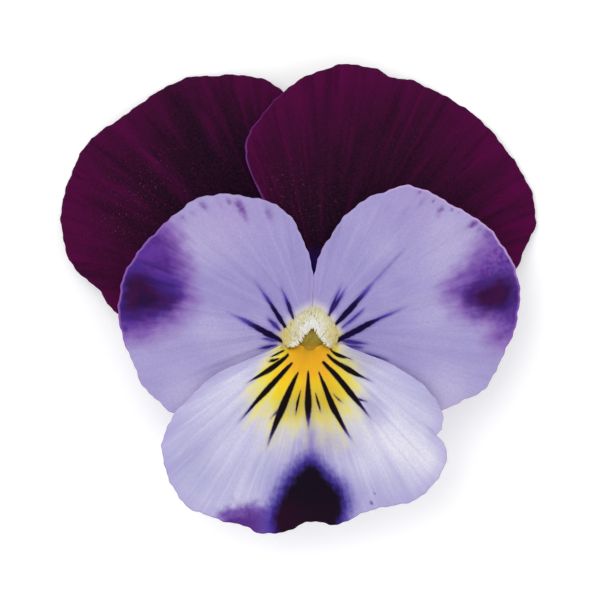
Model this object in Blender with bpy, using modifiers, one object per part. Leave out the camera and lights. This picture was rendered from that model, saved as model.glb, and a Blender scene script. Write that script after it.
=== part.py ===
"""Viola flower, 38 mm across, lying on its back with its face up.

Five petals in layers, five sepals, five stamens, the pistil, and the seat of
the flower with its short stalk.  Sizes in the constants are millimetres; the
scene is in metres, +Z up.  The face looks up and the lower petal points to -Y.
"""

import math
import random

import bmesh
import bpy
import numpy as np
from mathutils import Vector

MM = 0.001

# The whole flower
SEAT_X, SEAT_Y = 0.9, -1.9
SEAT_TOP = 4.8
SEAT_RADIUS = 1.85
BLADE_THICKNESS = 0.6
COLLECTION_NAME = "viola_flower"

# Petal claws, which stand in a ring on the seat
CLAW_RADIUS = 2.15
CLAW_FOOT = 5.1

# Petal blades
RIM_STEP = 1.35
ROWS = 9
ROW_POWER = 1.7
SIDE_LEVEL = 9.15
SIDE_RISE, SIDE_FALL = 0.06, 0.011
LOWER_OVER_SIDE = 1.45
UPPER_LEFT_LEVEL = 6.0
UPPER_RIGHT_LEVEL = 8.35
UPPER_FALL = 0.0127
UPPER_RIGHT_DROP = 2.3
TOUCH = 0.02
THROAT_DEPTH = 2.9
THROAT_HALF_WIDTH = 1.45
THROAT_LENGTH = 2.3

# Spur, beard, stalk and inner organs
SPUR_RADIUS = 1.0
STALK_RADIUS = 0.7
SEPAL_HALF_WIDTH = 1.1
SEPAL_ROWS = 11
STAMEN_RING = 1.27
BEARD_HAIRS = 12
BEARD_LENGTH = 1.5
BEARD_ROOT_RADIUS = 0.2
BEARD_SEED = 11

# Rims in plan, counterclockwise from one corner of the throat to the other
UPPER_LEFT_RIM = (
    (0.4, 0.8), (0.7, 2.4), (1.1, 4.8), (1.5, 8.4), (1.2, 13.0), (-1.2, 16.6), (-4.7, 17.9), (-9.8, 17.3),
    (-13.6, 14.7), (-16.9, 12.5), (-19.0, 7.2), (-17.9, 2.6), (-16.0, 1.0),
    (-14.4, -1.1), (-11.9, -2.4), (-7.5, -2.1), (-4.2, -1.5), (-2.0, -1.0),
)
UPPER_RIGHT_RIM = (
    (3.6, -0.8), (5.8, -1.05), (9.4, -1.2), (13.7, -0.4), (17.3, 2.1), (18.8, 5.4), (18.6, 8.5),
    (17.5, 10.6), (14.8, 14.1), (12.8, 15.7), (9.1, 17.4), (7.5, 17.6), (4.1, 18.8),
    (0.8, 18.0), (-0.9, 17.0), (-3.9, 13.3), (-3.9, 10.2), (-2.7, 7.5), (-1.3, 4.7), (-0.05, 2.4),
    (0.9, 0.9),
)
SIDE_LEFT_RIM = (
    (0.95, -0.6), (1.05, 1.3), (0.75, 3.0), (-0.4, 6.2), (-1.7, 7.4), (-4.7, 8.2),
    (-8.2, 7.9), (-12.9, 3.6), (-14.0, 1.7), (-14.4, -0.6), (-14.2, -2.7),
    (-13.0, -5.1), (-12.3, -6.8), (-9.5, -9.2), (-7.5, -9.3), (-4.7, -8.3),
    (-2.6, -6.0), (-1.3, -3.6),
)
SIDE_RIGHT_RIM = (
    (3.1, -3.6), (4.8, -6.4), (6.9, -8.2), (9.3, -9.1), (11.3, -9.0), (15.0, -7.0),
    (17.2, -2.8), (17.7, -0.4), (17.5, 1.9), (16.4, 4.1), (14.9, 5.9), (12.9, 7.1),
    (9.7, 8.8), (8.5, 9.0), (5.4, 7.9), (3.8, 6.6), (2.4, 4.7), (1.65, 2.9),
    (1.48, 1.2), (1.45, -0.6),
)
LOWER_RIM = (
    (-1.4, -3.8), (-2.9, -4.6), (-5.0, -5.1), (-6.9, -6.2), (-9.9, -9.3),
    (-10.8, -11.1), (-10.8, -13.0), (-8.8, -16.6), (-6.4, -17.7), (-3.2, -18.7),
    (-1.2, -18.7), (0.2, -18.0), (1.2, -17.8), (2.8, -18.1), (4.0, -17.8),
    (5.7, -16.9), (10.0, -15.8), (11.9, -12.6), (11.4, -11.4), (11.0, -11.0),
    (11.5, -10.3), (11.3, -8.7), (9.9, -6.9), (7.6, -5.4), (3.5, -3.7),
)

PETAL_DARK = (0.060, 0.004, 0.036)
PETAL_LILAC = (0.36, 0.31, 0.64)
PETAL_PALE = (0.62, 0.58, 0.80)
SEPAL_GREEN = (0.10, 0.22, 0.045)
STALK_GREEN = (0.13, 0.26, 0.06)
PISTIL_OLIVE = (0.30, 0.28, 0.05)
ANTHER_ORANGE = (0.55, 0.22, 0.03)


def clear_scene():
    for old in list(bpy.data.objects):
        bpy.data.objects.remove(old, do_unlink=True)
    part = bpy.data.collections.new(COLLECTION_NAME)
    bpy.context.scene.collection.children.link(part)
    return part


def material(name, colour, roughness):
    made = bpy.data.materials.new(name)
    made.use_nodes = True
    shader = made.node_tree.nodes["Principled BSDF"]
    shader.inputs["Base Color"].default_value = (*colour, 1.0)
    shader.inputs["Roughness"].default_value = roughness
    made.diffuse_color = (*colour, 1.0)
    return made


def smooth_curve(points, step):
    """A smooth line through the points, each of which it keeps, cut about every step."""
    knots = np.array(points, float)
    knots = np.vstack([2 * knots[0] - knots[1], knots, 2 * knots[-1] - knots[-2]])
    found = []
    for before, start, end, after in zip(knots, knots[1:], knots[2:], knots[3:]):
        cells = max(1, round(float(np.linalg.norm(end - start)) / step))
        for cell in range(cells):
            t = cell / cells
            linear = (end - before) * t
            square = (2 * before - 5 * start + 4 * end - after) * t**2
            cube = (3 * start - before - 3 * end + after) * t**3
            found.append(0.5 * (2 * start + linear + square + cube))
    found.append(knots[-2])
    return np.array(found)


def seat_distance(x, y):
    return math.hypot(x - SEAT_X, y - SEAT_Y)


def ease(t):
    t = min(max(t, 0.0), 1.0)
    return t * t * (3 - 2 * t)


def mesh_object(name, bm, collection, finish):
    mesh = bpy.data.meshes.new(name)
    bm.to_mesh(mesh)
    bm.free()
    mesh.materials.append(finish)
    mesh.polygons.foreach_set("use_smooth", [True] * len(mesh.polygons))
    made = bpy.data.objects.new(name, mesh)
    collection.objects.link(made)
    return made


def blade(name, points, collection, finish):
    """A thin solid whose middle surface runs through points[row][column]."""
    rows, columns = points.shape[:2]
    bm = bmesh.new()
    bmesh.ops.create_grid(bm, x_segments=columns - 1, y_segments=rows - 1, size=1.0)
    for vert in bm.verts:
        column = round((1.0 - vert.co.x) / 2 * (columns - 1))
        row = round((vert.co.y + 1.0) / 2 * (rows - 1))
        vert.co = Vector(points[row, column]) * MM
    bmesh.ops.triangulate(bm, faces=bm.faces[:])
    made = mesh_object(name, bm, collection, finish)
    shell = made.modifiers.new("thickness", "SOLIDIFY")
    shell.thickness = BLADE_THICKNESS * MM
    shell.offset = 0.0
    return made


def rod(name, path, radii, step, collection, finish):
    """A round rod along the path, as thick as the radii say, with closed ends."""
    line = smooth_curve([(*p, r) for p, r in zip(path, radii)], step)
    curve = bpy.data.curves.new(name, "CURVE")
    curve.dimensions = "3D"
    curve.bevel_depth = MM
    curve.bevel_resolution = 2
    curve.use_fill_caps = True
    spline = curve.splines.new("POLY")
    spline.points.add(len(line) - 1)
    for point, (x, y, z, radius) in zip(spline.points, line):
        point.co = (x * MM, y * MM, z * MM, 1.0)
        point.radius = radius
    helper = bpy.data.objects.new(name + "_line", curve)
    collection.objects.link(helper)
    bpy.context.view_layer.update()
    graph = bpy.context.evaluated_depsgraph_get()
    mesh = bpy.data.meshes.new_from_object(helper.evaluated_get(graph))
    bpy.data.objects.remove(helper, do_unlink=True)
    bm = bmesh.new()
    bm.from_mesh(mesh)
    bpy.data.meshes.remove(mesh)
    bmesh.ops.remove_doubles(bm, verts=bm.verts, dist=1e-6)
    bmesh.ops.recalc_face_normals(bm, faces=bm.faces)
    return mesh_object(name, bm, collection, finish)


def settle(made):
    """Makes the modifiers part of the mesh."""
    bpy.context.view_layer.update()
    graph = bpy.context.evaluated_depsgraph_get()
    mesh = bpy.data.meshes.new_from_object(made.evaluated_get(graph))
    made.modifiers.clear()
    made.data = mesh
    mesh.polygons.foreach_set("use_smooth", [True] * len(mesh.polygons))


def fuse(made, additions):
    """Joins the additions to the object as one solid, and removes them."""
    group = bpy.data.collections.new(made.name + "_parts")
    bpy.context.scene.collection.children.link(group)
    for piece in additions:
        for holder in list(piece.users_collection):
            holder.objects.unlink(piece)
        group.objects.link(piece)
    union = made.modifiers.new("union", "BOOLEAN")
    union.operation = "UNION"
    union.operand_type = "COLLECTION"
    union.collection = group
    union.solver = "MANIFOLD"
    settle(made)
    for piece in additions:
        bpy.data.objects.remove(piece, do_unlink=True)
    bpy.data.collections.remove(group)


def rest_on_surface(made):
    """Leans the petal until its lowest point just meets the surface."""
    lowest = min(made.data.vertices, key=lambda vert: vert.co.z)
    drop = lowest.co.z + TOUCH * MM
    reach = seat_distance(lowest.co.x / MM, lowest.co.y / MM)
    for vert in made.data.vertices:
        share = seat_distance(vert.co.x / MM, vert.co.y / MM) / reach
        vert.co.z = max(vert.co.z - drop * share**2, 0.0)


def claw_line(start, end, columns):
    """Points of a claw's foot, on the ring round the seat, between two directions."""
    turns = np.radians(np.linspace(start, end, columns))
    return np.stack([SEAT_X + CLAW_RADIUS * np.cos(turns), SEAT_Y + CLAW_RADIUS * np.sin(turns)], 1)


def petal_points(rim, foot, height):
    """Rows of points from the foot line to the rim; height(x, y, along, across)."""
    points = np.zeros((ROWS + 1, len(rim), 3))
    for row in range(ROWS + 1):
        along = (row / ROWS) ** ROW_POWER
        for column in range(len(rim)):
            across = column / (len(rim) - 1)
            x, y = foot[column] + (rim[column] - foot[column]) * along
            points[row, column] = x, y, height(x, y, along, across)
    return points


def rim_wave(along, across, size, waves, phase):
    """The waved margin: long and short waves together, fading towards the claw."""
    long_wave = math.sin(2 * math.pi * waves * across + phase)
    short_wave = 0.45 * math.sin(2 * math.pi * 2.3 * waves * across + 2.1 * phase)
    return size * along**2.6 * (long_wave + short_wave)


def climb(along, reach):
    """How far a claw has risen from its foot to the level of the blade, 0 to 1."""
    return 1 - (1 - min(1.0, max(0.0, along) / reach)) ** 2


def side_level(x, y):
    r = seat_distance(x, y)
    return SIDE_LEVEL + SIDE_RISE * r - SIDE_FALL * r * r


def side_height(phase):
    """The height rule of a side petal, whose margin waves start at the phase."""

    def height(x, y, along, across):
        level = side_level(x, y) + rim_wave(along, across, 0.26, 4.0, phase)
        return CLAW_FOOT + (level - CLAW_FOOT) * climb(along, 0.2)

    return height


def upper_left_height(x, y, along, across):
    r = seat_distance(x, y)
    level = UPPER_LEFT_LEVEL - UPPER_FALL * r * r
    level += rim_wave(along, across, 0.42, 4.5, 0.4)
    return CLAW_FOOT + (level - CLAW_FOOT) * climb(r - CLAW_RADIUS, 2.0)


def upper_right_height(x, y, along, across):
    r = seat_distance(x, y)
    level = UPPER_RIGHT_LEVEL - UPPER_FALL * r * r - UPPER_RIGHT_DROP * ease((x - 3) / 11)
    level += rim_wave(along, across, 0.42, 4.5, 2.6)
    return CLAW_FOOT + (level - CLAW_FOOT) * climb(r - CLAW_RADIUS, 2.4 + 2.6 * ease((x - 1.0) / 2.5))


def lower_height(x, y, along, across):
    """Over the side petals, and sunk towards the throat between them."""
    level = side_level(x, y) + LOWER_OVER_SIDE + rim_wave(along, across, 0.3, 4.5, 1.0)
    width = math.exp(-(((x - SEAT_X) / THROAT_HALF_WIDTH) ** 2))
    length = math.exp(-((max(0.0, -3.8 - y) / THROAT_LENGTH) ** 2))
    return level - THROAT_DEPTH * width * length


def upper_petal(name, rim_points, foot, height, part, finish):
    rim = smooth_curve(rim_points, RIM_STEP)
    made = blade(name, petal_points(rim, claw_line(*foot, len(rim)), height), part, finish)
    settle(made)
    rest_on_surface(made)
    return made


def beard_hairs(name, side, roots, part, finish):
    """Hairs rooted in the petal along its throat edge, leaning in over the throat."""
    rng = random.Random(BEARD_SEED)
    line = smooth_curve(roots, 0.05)
    hairs = []
    for number in range(BEARD_HAIRS):
        spot = line[round((number + 0.5) / BEARD_HAIRS * (len(line) - 1))]
        root = Vector((spot[0], spot[1], side_level(spot[0], spot[1]) + rng.uniform(-0.12, 0.1)))
        aim = Vector((SEAT_X + side * rng.uniform(0.45, 0.9), -3.4, root.z + rng.uniform(-0.3, 0.5)))
        lean = (aim - root).normalized()
        tip = root + lean * BEARD_LENGTH * rng.uniform(0.7, 1.0)
        path = (root - lean * 0.35, root, (root + tip) / 2 + Vector((0, 0, 0.12)), tip)
        radii = [BEARD_ROOT_RADIUS * share for share in (1.0, 1.0, 0.85, 0.4)]
        hairs.append(rod(f"{name}_{number}", [tuple(p) for p in path], radii, 9.0, part, finish))
    return hairs


def side_petal(name, side, rim_points, foot, phase, beard_roots, part, finish):
    rim = smooth_curve(rim_points, RIM_STEP)
    points = petal_points(rim, claw_line(*foot, len(rim)), side_height(phase))
    made = blade(name, points, part, finish)
    fuse(made, beard_hairs(name + "_hair", side, beard_roots, part, finish))
    return made


def lower_petal(part, finish):
    rim = smooth_curve(LOWER_RIM, RIM_STEP)
    foot = np.stack([np.linspace(SEAT_X - 0.8, SEAT_X + 0.8, len(rim)), np.full(len(rim), -4.1)], 1)
    made = blade("petal_lower", petal_points(rim, foot, lower_height), part, finish)
    path = (
        (0.9, -5.0, 8.3), (0.9, -5.5, 7.5), (0.92, -5.75, 6.3), (0.95, -5.9, 5.0),
        (0.98, -6.35, 3.8), (1.0, -7.1, 2.8), (1.1, -7.7, 2.3), (1.2, -8.2, 2.0),
    )
    radii = [SPUR_RADIUS * share for share in (1.0, 1.0, 0.95, 0.9, 0.88, 0.85, 0.72, 0.35)]
    fuse(made, [rod("spur", path, radii, 0.8, part, finish)])
    return made


def sepal(name, turn, course, part, finish):
    """A pointed sepal with its ear below the join; course gives (radius, height)."""
    line = smooth_curve(course, 0.2)
    picks = np.linspace(0, len(line) - 1, SEPAL_ROWS).round().astype(int)
    angle = math.radians(turn)
    outward = np.array([math.cos(angle), math.sin(angle), 0.0])
    sideways = np.array([-math.sin(angle), math.cos(angle), 0.0])
    points = np.zeros((SEPAL_ROWS, 5, 3))
    for row, pick in enumerate(picks):
        share = row / (SEPAL_ROWS - 1)
        ear = 0.78 - 0.35 * ease((share - 0.1) / 0.2)
        leaf = SEPAL_HALF_WIDTH * math.sin(math.pi * min(1.0, (share + 0.1) / 1.12)) ** 0.8
        half = max(ear * (1 - ease((share - 0.3) / 0.2)), leaf * ease((share - 0.15) / 0.25), 0.3)
        centre = np.array([SEAT_X, SEAT_Y, 0.0]) + outward * line[pick, 0]
        for column in range(5):
            t = column / 2 - 1
            lift = -0.18 * t * t * half
            points[row, column] = centre + sideways * half * t + (0, 0, line[pick, 1] + lift)
    return blade(name, points, part, finish)


def stamen(name, turn, part, finish):
    angle = math.radians(turn)
    out = (math.cos(angle), math.sin(angle))
    course = (
        (1.0, 5.1, 0.16), (1.0, 5.35, 0.3), (0.98, 5.9, 0.36), (0.95, 6.5, 0.34),
        (0.85, 7.0, 0.16),
    )
    path = [(SEAT_X + STAMEN_RING * r * out[0], SEAT_Y + STAMEN_RING * r * out[1], z) for r, z, _ in course]
    return rod(name, path, [size for _, _, size in course], 0.45, part, finish)


def pistil(part, finish):
    path = (
        (0.9, -1.9, 5.1), (0.9, -1.9, 5.4), (0.9, -1.9, 5.9), (0.9, -1.95, 6.5),
        (0.9, -2.1, 7.0), (0.92, -2.35, 7.4), (0.95, -2.6, 7.75), (0.98, -2.85, 8.1),
        (1.0, -2.95, 8.4),
    )
    radii = (0.3, 0.52, 0.6, 0.46, 0.27, 0.26, 0.42, 0.5, 0.2)
    return rod("pistil", path, radii, 0.35, part, finish)


def flower_stalk(part, finish):
    """The seat of the flower and its stalk, which bends over and lies on the surface."""
    path = (
        (0.9, -1.9, SEAT_TOP), (0.9, -1.9, 4.6), (0.9, -1.9, 4.1), (0.9, -1.9, 3.6),
        (0.88, -1.85, 3.2), (0.8, -1.8, 2.5), (0.65, -1.95, 1.7), (0.4, -2.6, 1.0),
        (0.1, -3.7, 0.68), (-0.4, -6.0, 0.62), (-0.8, -9.0, 0.62), (-1.0, -13.6, 0.62),
    )
    seat = [SEAT_RADIUS * share for share in (0.8, 1.0, 0.95, 0.7)]
    stalk = [STALK_RADIUS * share for share in (1.2, 1.03, 1.0, 1.0, 1.0, 1.0, 0.97, 1.03)]
    made = rod("flower_stalk", path, seat + stalk, 0.9, part, finish)
    bm = bmesh.new()
    bm.from_mesh(made.data)
    cut = bmesh.ops.bisect_plane(
        bm,
        geom=bm.verts[:] + bm.edges[:] + bm.faces[:],
        plane_co=(0, 0, 0),
        plane_no=(0, 0, 1),
        clear_inner=True,
    )
    edges = [item for item in cut["geom_cut"] if isinstance(item, bmesh.types.BMEdge)]
    bmesh.ops.edgeloop_fill(bm, edges=edges)
    bmesh.ops.recalc_face_normals(bm, faces=bm.faces)
    bm.to_mesh(made.data)
    bm.free()
    return made


def main():
    part = clear_scene()
    dark = material("petal_burgundy", PETAL_DARK, 0.6)
    lilac = material("petal_lilac", PETAL_LILAC, 0.6)
    pale = material("petal_pale", PETAL_PALE, 0.6)
    green = material("sepal_green", SEPAL_GREEN, 0.6)
    stem = material("stalk_green", STALK_GREEN, 0.55)
    olive = material("pistil_olive", PISTIL_OLIVE, 0.5)
    orange = material("anther_orange", ANTHER_ORANGE, 0.6)

    upper_petal("petal_upper_left", UPPER_LEFT_RIM, (108, 144), upper_left_height, part, dark)
    upper_petal("petal_upper_right", UPPER_RIGHT_RIM, (38, 76), upper_right_height, part, dark)
    left_beard = ((0.7, -0.7), (0.1, -1.0), (-0.55, -1.6), (-1.1, -2.5), (-1.45, -3.2))
    right_beard = ((1.75, -0.7), (2.1, -1.0), (2.6, -1.6), (3.05, -2.5), (3.3, -3.2))
    side_petal("petal_side_left", -1, SIDE_LEFT_RIM, (171, 211), 0.3, left_beard, part, lilac)
    side_petal("petal_side_right", 1, SIDE_RIGHT_RIM, (-28, 14), 1.9, right_beard, part, lilac)
    lower_petal(part, pale)

    ear = ((3.5, 2.3), (2.9, 2.75), (2.45, 3.4), (2.6, 4.1))
    leaned = (*ear, (3.4, 4.55), (5.0, 4.6), (7.0, 4.35), (9.2, 3.8))
    raised = (*ear, (3.4, 4.9), (4.8, 5.8), (6.6, 6.6), (8.6, 7.1))
    for place, turn, course in (
        ("top", 90, leaned), ("left", 162, leaned), ("right", 18, leaned),
        ("lower_left", 234, raised), ("lower_right", 306, raised),
    ):
        sepal("sepal_" + place, turn, course, part, green)
        stamen("stamen_" + place, turn, part, orange)
    pistil(part, olive)
    flower_stalk(part, stem)


main()
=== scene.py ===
"""Viola flower, 38 mm across, lying on its back with its face up.

Fine petals with their markings, the beards, the pistil, the stamens, the sepals, the spur and the stalk
stand in for the plain solids of the frame. Sizes in the constants are millimetres; the scene is in metres.
"""

import logging
import math
from collections.abc import Sequence
from dataclasses import dataclass
from enum import Enum

import bpy
import numpy as np
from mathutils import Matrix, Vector
from mathutils.bvhtree import BVHTree


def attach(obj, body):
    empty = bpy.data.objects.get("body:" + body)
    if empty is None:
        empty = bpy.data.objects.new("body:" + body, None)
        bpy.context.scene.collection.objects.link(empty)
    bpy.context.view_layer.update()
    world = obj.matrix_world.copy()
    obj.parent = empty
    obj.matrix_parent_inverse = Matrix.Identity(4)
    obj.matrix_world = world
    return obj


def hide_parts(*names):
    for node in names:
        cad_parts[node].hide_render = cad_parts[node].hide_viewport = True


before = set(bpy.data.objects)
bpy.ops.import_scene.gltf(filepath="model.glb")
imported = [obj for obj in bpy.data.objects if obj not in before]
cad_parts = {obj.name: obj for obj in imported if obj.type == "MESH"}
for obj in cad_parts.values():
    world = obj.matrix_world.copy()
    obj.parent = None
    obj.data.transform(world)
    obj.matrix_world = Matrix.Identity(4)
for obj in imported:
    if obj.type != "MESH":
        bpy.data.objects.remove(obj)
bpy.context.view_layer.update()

LOG = logging.getLogger("viola")
MM = 0.001

# The seat of the flower, and the ring of claws round it
SEAT_X, SEAT_Y = 0.9, -1.9
CLAW_RADIUS = 2.15
CLAW_FOOT = 5.1

# The side petals' claws: the height of the waist, how far shoulder and lip lie below the blade,
# and how far towards the lip the foot, the waist, the shoulder and the lip lie
CLAW_WAIST = 7.3
CLAW_SHOULDER = 0.95
CLAW_LIP = 0.36
CLAW_INWARD = (0.0, 0.1, 0.7, 1.0)

# Heights of the petals, and the hollow of the throat in the lower one
SIDE_LEVEL = 9.15
SIDE_RISE, SIDE_FALL = 0.06, 0.011
LOWER_OVER_SIDE = 1.45
UPPER_LEFT_LEVEL = 6.0
UPPER_RIGHT_LEVEL = 8.35
UPPER_FALL = 0.0127
UPPER_RIGHT_DROP = 2.3
UPPER_DROP_START, UPPER_DROP_RUN = 3.0, 11.0
THROAT_DEPTH = 2.9
THROAT_HALF_WIDTH = 1.45
THROAT_LENGTH = 2.3

# Fineness of the petal meshes
RIM_STEP = 0.26
PETAL_ROWS = 78
FINE_STEP = 0.175
FINE_ROWS = 116
CLAW_ROWS = 6
ROW_POWER = 1.5

# The circle on which the way round a fan is measured, and how far along the rim waves and bays are evened
FAN_RADIUS = 11.0
WAVE_BLUR = 2.3
BAY_BLUR = 2.4

# How far from its ends a rim is scalloped and evened in full, from what length on a blade has folds, and
# over what further length they grow
SCALLOP_START = 4.7
BAY_START = 5.0
FOLD_START = 2.0
FOLD_RUN = 7.0

# Thickness of a blade and of its rim, and how far in from the rim it is full; up to what distance the rim
# is measured, and how far along it to each side it is looked for
BLADE_THICKNESS = 0.32
RIM_THICKNESS = 0.1
RIM_BEVEL = 1.1
RIM_GAP_LIMIT = 2.0
RIM_GAP_SEARCH = 3.6

# A streak: how many points it has, how far beside it the mesh is looked at, what makes up for its rounded
# peak, over what share of its way it turns violet, where it has faded away, and over what share of its
# way, less its own fade, it does so
STREAK_POINTS = 15
STREAK_MARGIN = 0.7
PEAK_GAIN = 1.12
VIOLET_RUN = 0.34
FADE_END = 1.08
FADE_RUN = 0.96

# A distance past all that the finishes read
FAR = 9.0

# How brightly the studio lights a level white surface
LIGHT_LEVEL = 1.08

Plan = tuple[float, float]
Place = tuple[float, float, float]
Spot = tuple[float, float, float, float]
Dash = tuple[float, float, float, float, float]
Colour = tuple[float, float, float, float]
Stops = tuple[tuple[float, Colour], ...]
Faces = list[tuple[int, ...]]
Array = np.ndarray
Object = bpy.types.Object
Material = bpy.types.Material
Socket = bpy.types.NodeSocket
Value = float | Socket

# Rims in plan, counterclockwise from one corner of the throat to the other
UPPER_LEFT_RIM: tuple[Plan, ...] = (
    (0.4, 0.8), (0.7, 2.4), (1.1, 4.8), (1.5, 8.4), (1.2, 13.0), (0.1, 15.3), (-1.2, 16.6), (-2.85, 17.6),
    (-4.7, 17.95), (-6.7, 17.9), (-8.55, 17.8), (-9.85, 17.4), (-11.95, 16.22), (-13.65, 14.95),
    (-15.65, 13.6), (-16.95, 12.55), (-17.85, 11.05), (-18.5, 9.45), (-19.1, 7.25), (-18.95, 4.8),
    (-18.1, 2.5), (-16.25, 0.85), (-14.6, -1.2), (-11.9, -2.4), (-7.5, -2.1), (-4.2, -1.5), (-2.0, -1.0),
)
UPPER_RIGHT_RIM: tuple[Plan, ...] = (
    (3.6, -0.8), (5.8, -1.05), (9.4, -1.2), (13.7, -0.4), (17.3, 2.1), (17.92, 3.35), (18.92, 5.4),
    (19.1, 6.5), (18.75, 8.55), (17.62, 10.66), (16.2, 12.58), (14.85, 14.15), (12.8, 15.7), (10.7, 16.8),
    (9.15, 17.5), (7.5, 17.75), (6.35, 18.35), (4.1, 18.8), (2.7, 18.55), (0.85, 17.9), (-0.8, 16.9),
    (-2.7, 15.0), (-3.9, 13.3), (-4.3, 11.9), (-3.9, 10.2), (-2.75, 7.7), (-1.3, 4.7), (-0.05, 2.4),
    (0.9, 0.9),
)
SIDE_LEFT_RIM: tuple[Plan, ...] = (
    (1.05, -0.6), (1.12, 0.4), (1.16, 1.3), (1.1, 2.4), (0.9, 3.2), (0.4, 4.5), (-0.35, 6.1), (-1.7, 7.4),
    (-3.2, 7.9), (-4.7, 8.2), (-6.4, 8.3), (-8.2, 7.9), (-9.6, 6.9), (-11.2, 5.5), (-12.9, 3.6),
    (-14.0, 1.7), (-14.4, -0.6), (-14.2, -2.7), (-13.3, -5.05), (-12.5, -6.9), (-11.25, -8.25),
    (-9.65, -9.35), (-7.5, -9.3), (-4.7, -8.3), (-2.6, -6.0), (-1.3, -3.6),
)
SIDE_RIGHT_RIM: tuple[Plan, ...] = (
    (3.1, -3.6), (4.8, -6.4), (6.9, -8.2), (9.3, -9.1), (11.3, -9.0), (13.4, -8.1), (15.08, -7.08),
    (16.3, -4.7), (17.2, -2.8), (17.7, -0.4), (17.5, 1.9), (16.4, 4.1), (14.9, 5.9), (12.9, 7.1),
    (11.0, 8.2), (9.7, 8.8), (8.5, 9.0), (7.2, 8.6), (5.4, 7.9), (3.8, 6.6), (2.4, 4.7), (1.65, 3.3),
    (1.38, 2.4), (1.18, 1.7), (0.95, 1.0), (0.85, 0.3), (0.95, -0.6),
)
LOWER_RIM: tuple[Plan, ...] = (
    (-1.4, -3.8), (-2.9, -4.5), (-5.0, -5.35), (-6.9, -6.3), (-8.7, -8.0), (-9.9, -9.3), (-10.8, -11.1),
    (-10.8, -13.0), (-10.1, -15.0), (-8.88, -16.68), (-6.4, -17.7), (-4.4, -18.2), (-3.15, -18.76),
    (-1.2, -18.74), (0.2, -18.05), (1.2, -17.88), (2.8, -18.1), (4.0, -17.8), (5.7, -16.95), (8.1, -16.5),
    (9.9, -15.8), (11.35, -14.05), (11.9, -12.6), (11.4, -11.4), (11.0, -11.0), (11.5, -10.3), (11.3, -8.7),
    (9.9, -6.9), (7.6, -5.4), (5.4, -4.5), (3.5, -3.7),
)


class Slot(Enum):
    """The record's material slots."""

    BURGUNDY = "petal_burgundy"
    LILAC = "petal_lilac"
    PALE = "petal_pale"
    SEPAL = "sepal_green"
    STALK = "stalk_green"
    PISTIL = "pistil_olive"
    ANTHER = "anther_orange"


class Side(Enum):
    """The two sides of the flower, as they show in its face."""

    LEFT = "left"
    RIGHT = "right"


class Spoke(Enum):
    """The five places round the seat where stamens and sepals stand, by their turn in degrees."""

    TOP = 90
    LEFT = 162
    RIGHT = 18
    LOWER_LEFT = 234
    LOWER_RIGHT = 306


def tint(red: int, green: int, blue: int) -> Colour:
    """Turns the colour as it is seen in the studio into a linear surface colour.

    Args:
        red: Red, 0 to 255.
        green: Green, 0 to 255.
        blue: Blue, 0 to 255.

    Returns:
        The linear colour with full alpha.
    """
    shares = [value / 255 for value in (red, green, blue)]
    linear = [s / 12.92 if s <= 0.04045 else ((s + 0.055) / 1.055) ** 2.4 for s in shares]
    return (linear[0] / LIGHT_LEVEL, linear[1] / LIGHT_LEVEL, linear[2] / LIGHT_LEVEL, 1.0)


def ease(t: Array) -> Array:
    """A smooth step from 0 to 1 over the same range."""
    t = np.clip(t, 0.0, 1.0)
    return t * t * (3 - 2 * t)


def spots_field(x: Array, y: Array, spots: Sequence[Spot], base: float = 0.0) -> Array:
    """Soft round patches added together.

    Args:
        x: Plan places, across.
        y: Plan places, up.
        spots: The middle, reach and height of each.
        base: The value away from them all.

    Returns:
        The sum at each place.
    """
    total = np.full(x.shape, base)
    for middle_x, middle_y, reach, height in spots:
        total = total + height * np.exp(-((x - middle_x) ** 2 + (y - middle_y) ** 2) / reach**2)
    return total


def seat_distance(x: Array, y: Array) -> Array:
    """Distance in plan from the middle of the seat."""
    return np.hypot(x - SEAT_X, y - SEAT_Y)


def climb(along: Array, reach: float | Array) -> Array:
    """How far a claw has risen from its foot to the level of the blade, 0 to 1."""
    return 1 - (1 - np.clip(along / reach, 0.0, 1.0)) ** 2


def side_level(x: Array, y: Array) -> Array:
    """Height of the side petals' blades, without their waves."""
    r = seat_distance(x, y)
    return SIDE_LEVEL + SIDE_RISE * r - SIDE_FALL * r * r


def between(knots: Sequence[Array], t: float) -> Array:
    """A place on a smooth line, between the second and the third of four knots.

    Args:
        knots: The four knots in order.
        t: The share of the way.

    Returns:
        The place.
    """
    before, start, end, after = knots
    square = (2 * before - 5 * start + 4 * end - after) * t**2
    cube = (3 * start - before - 3 * end + after) * t**3
    return 0.5 * (2 * start + (end - before) * t + square + cube)


def smooth_curve(points: Sequence[Sequence[float]] | Array, step: float) -> Array:
    """A smooth line through the points, each of which it keeps.

    Args:
        points: The points to pass through.
        step: About how far apart the line's points are.

    Returns:
        The points of the line.
    """
    knots = np.array(points, float)
    knots = np.vstack([2 * knots[0] - knots[1], knots, 2 * knots[-1] - knots[-2]])
    found = []
    for four in zip(knots, knots[1:], knots[2:], knots[3:]):
        cells = max(1, round(float(np.linalg.norm(four[2] - four[1])) / step))
        found.extend(between(four, cell / cells) for cell in range(cells))
    found.append(knots[-2])
    return np.array(found)


def evenly(line: Array, count: int) -> Array:
    """The line's points, picked again at even distances along it.

    Args:
        line: Points of a line.
        count: How many points are wanted.

    Returns:
        The new points.
    """
    lengths = np.concatenate([[0.0], np.cumsum(np.linalg.norm(np.diff(line, axis=0), axis=1))])
    wanted = np.linspace(0.0, lengths[-1], count)
    return np.stack([np.interp(wanted, lengths, line[:, axis]) for axis in range(line.shape[1])], 1)


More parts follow.
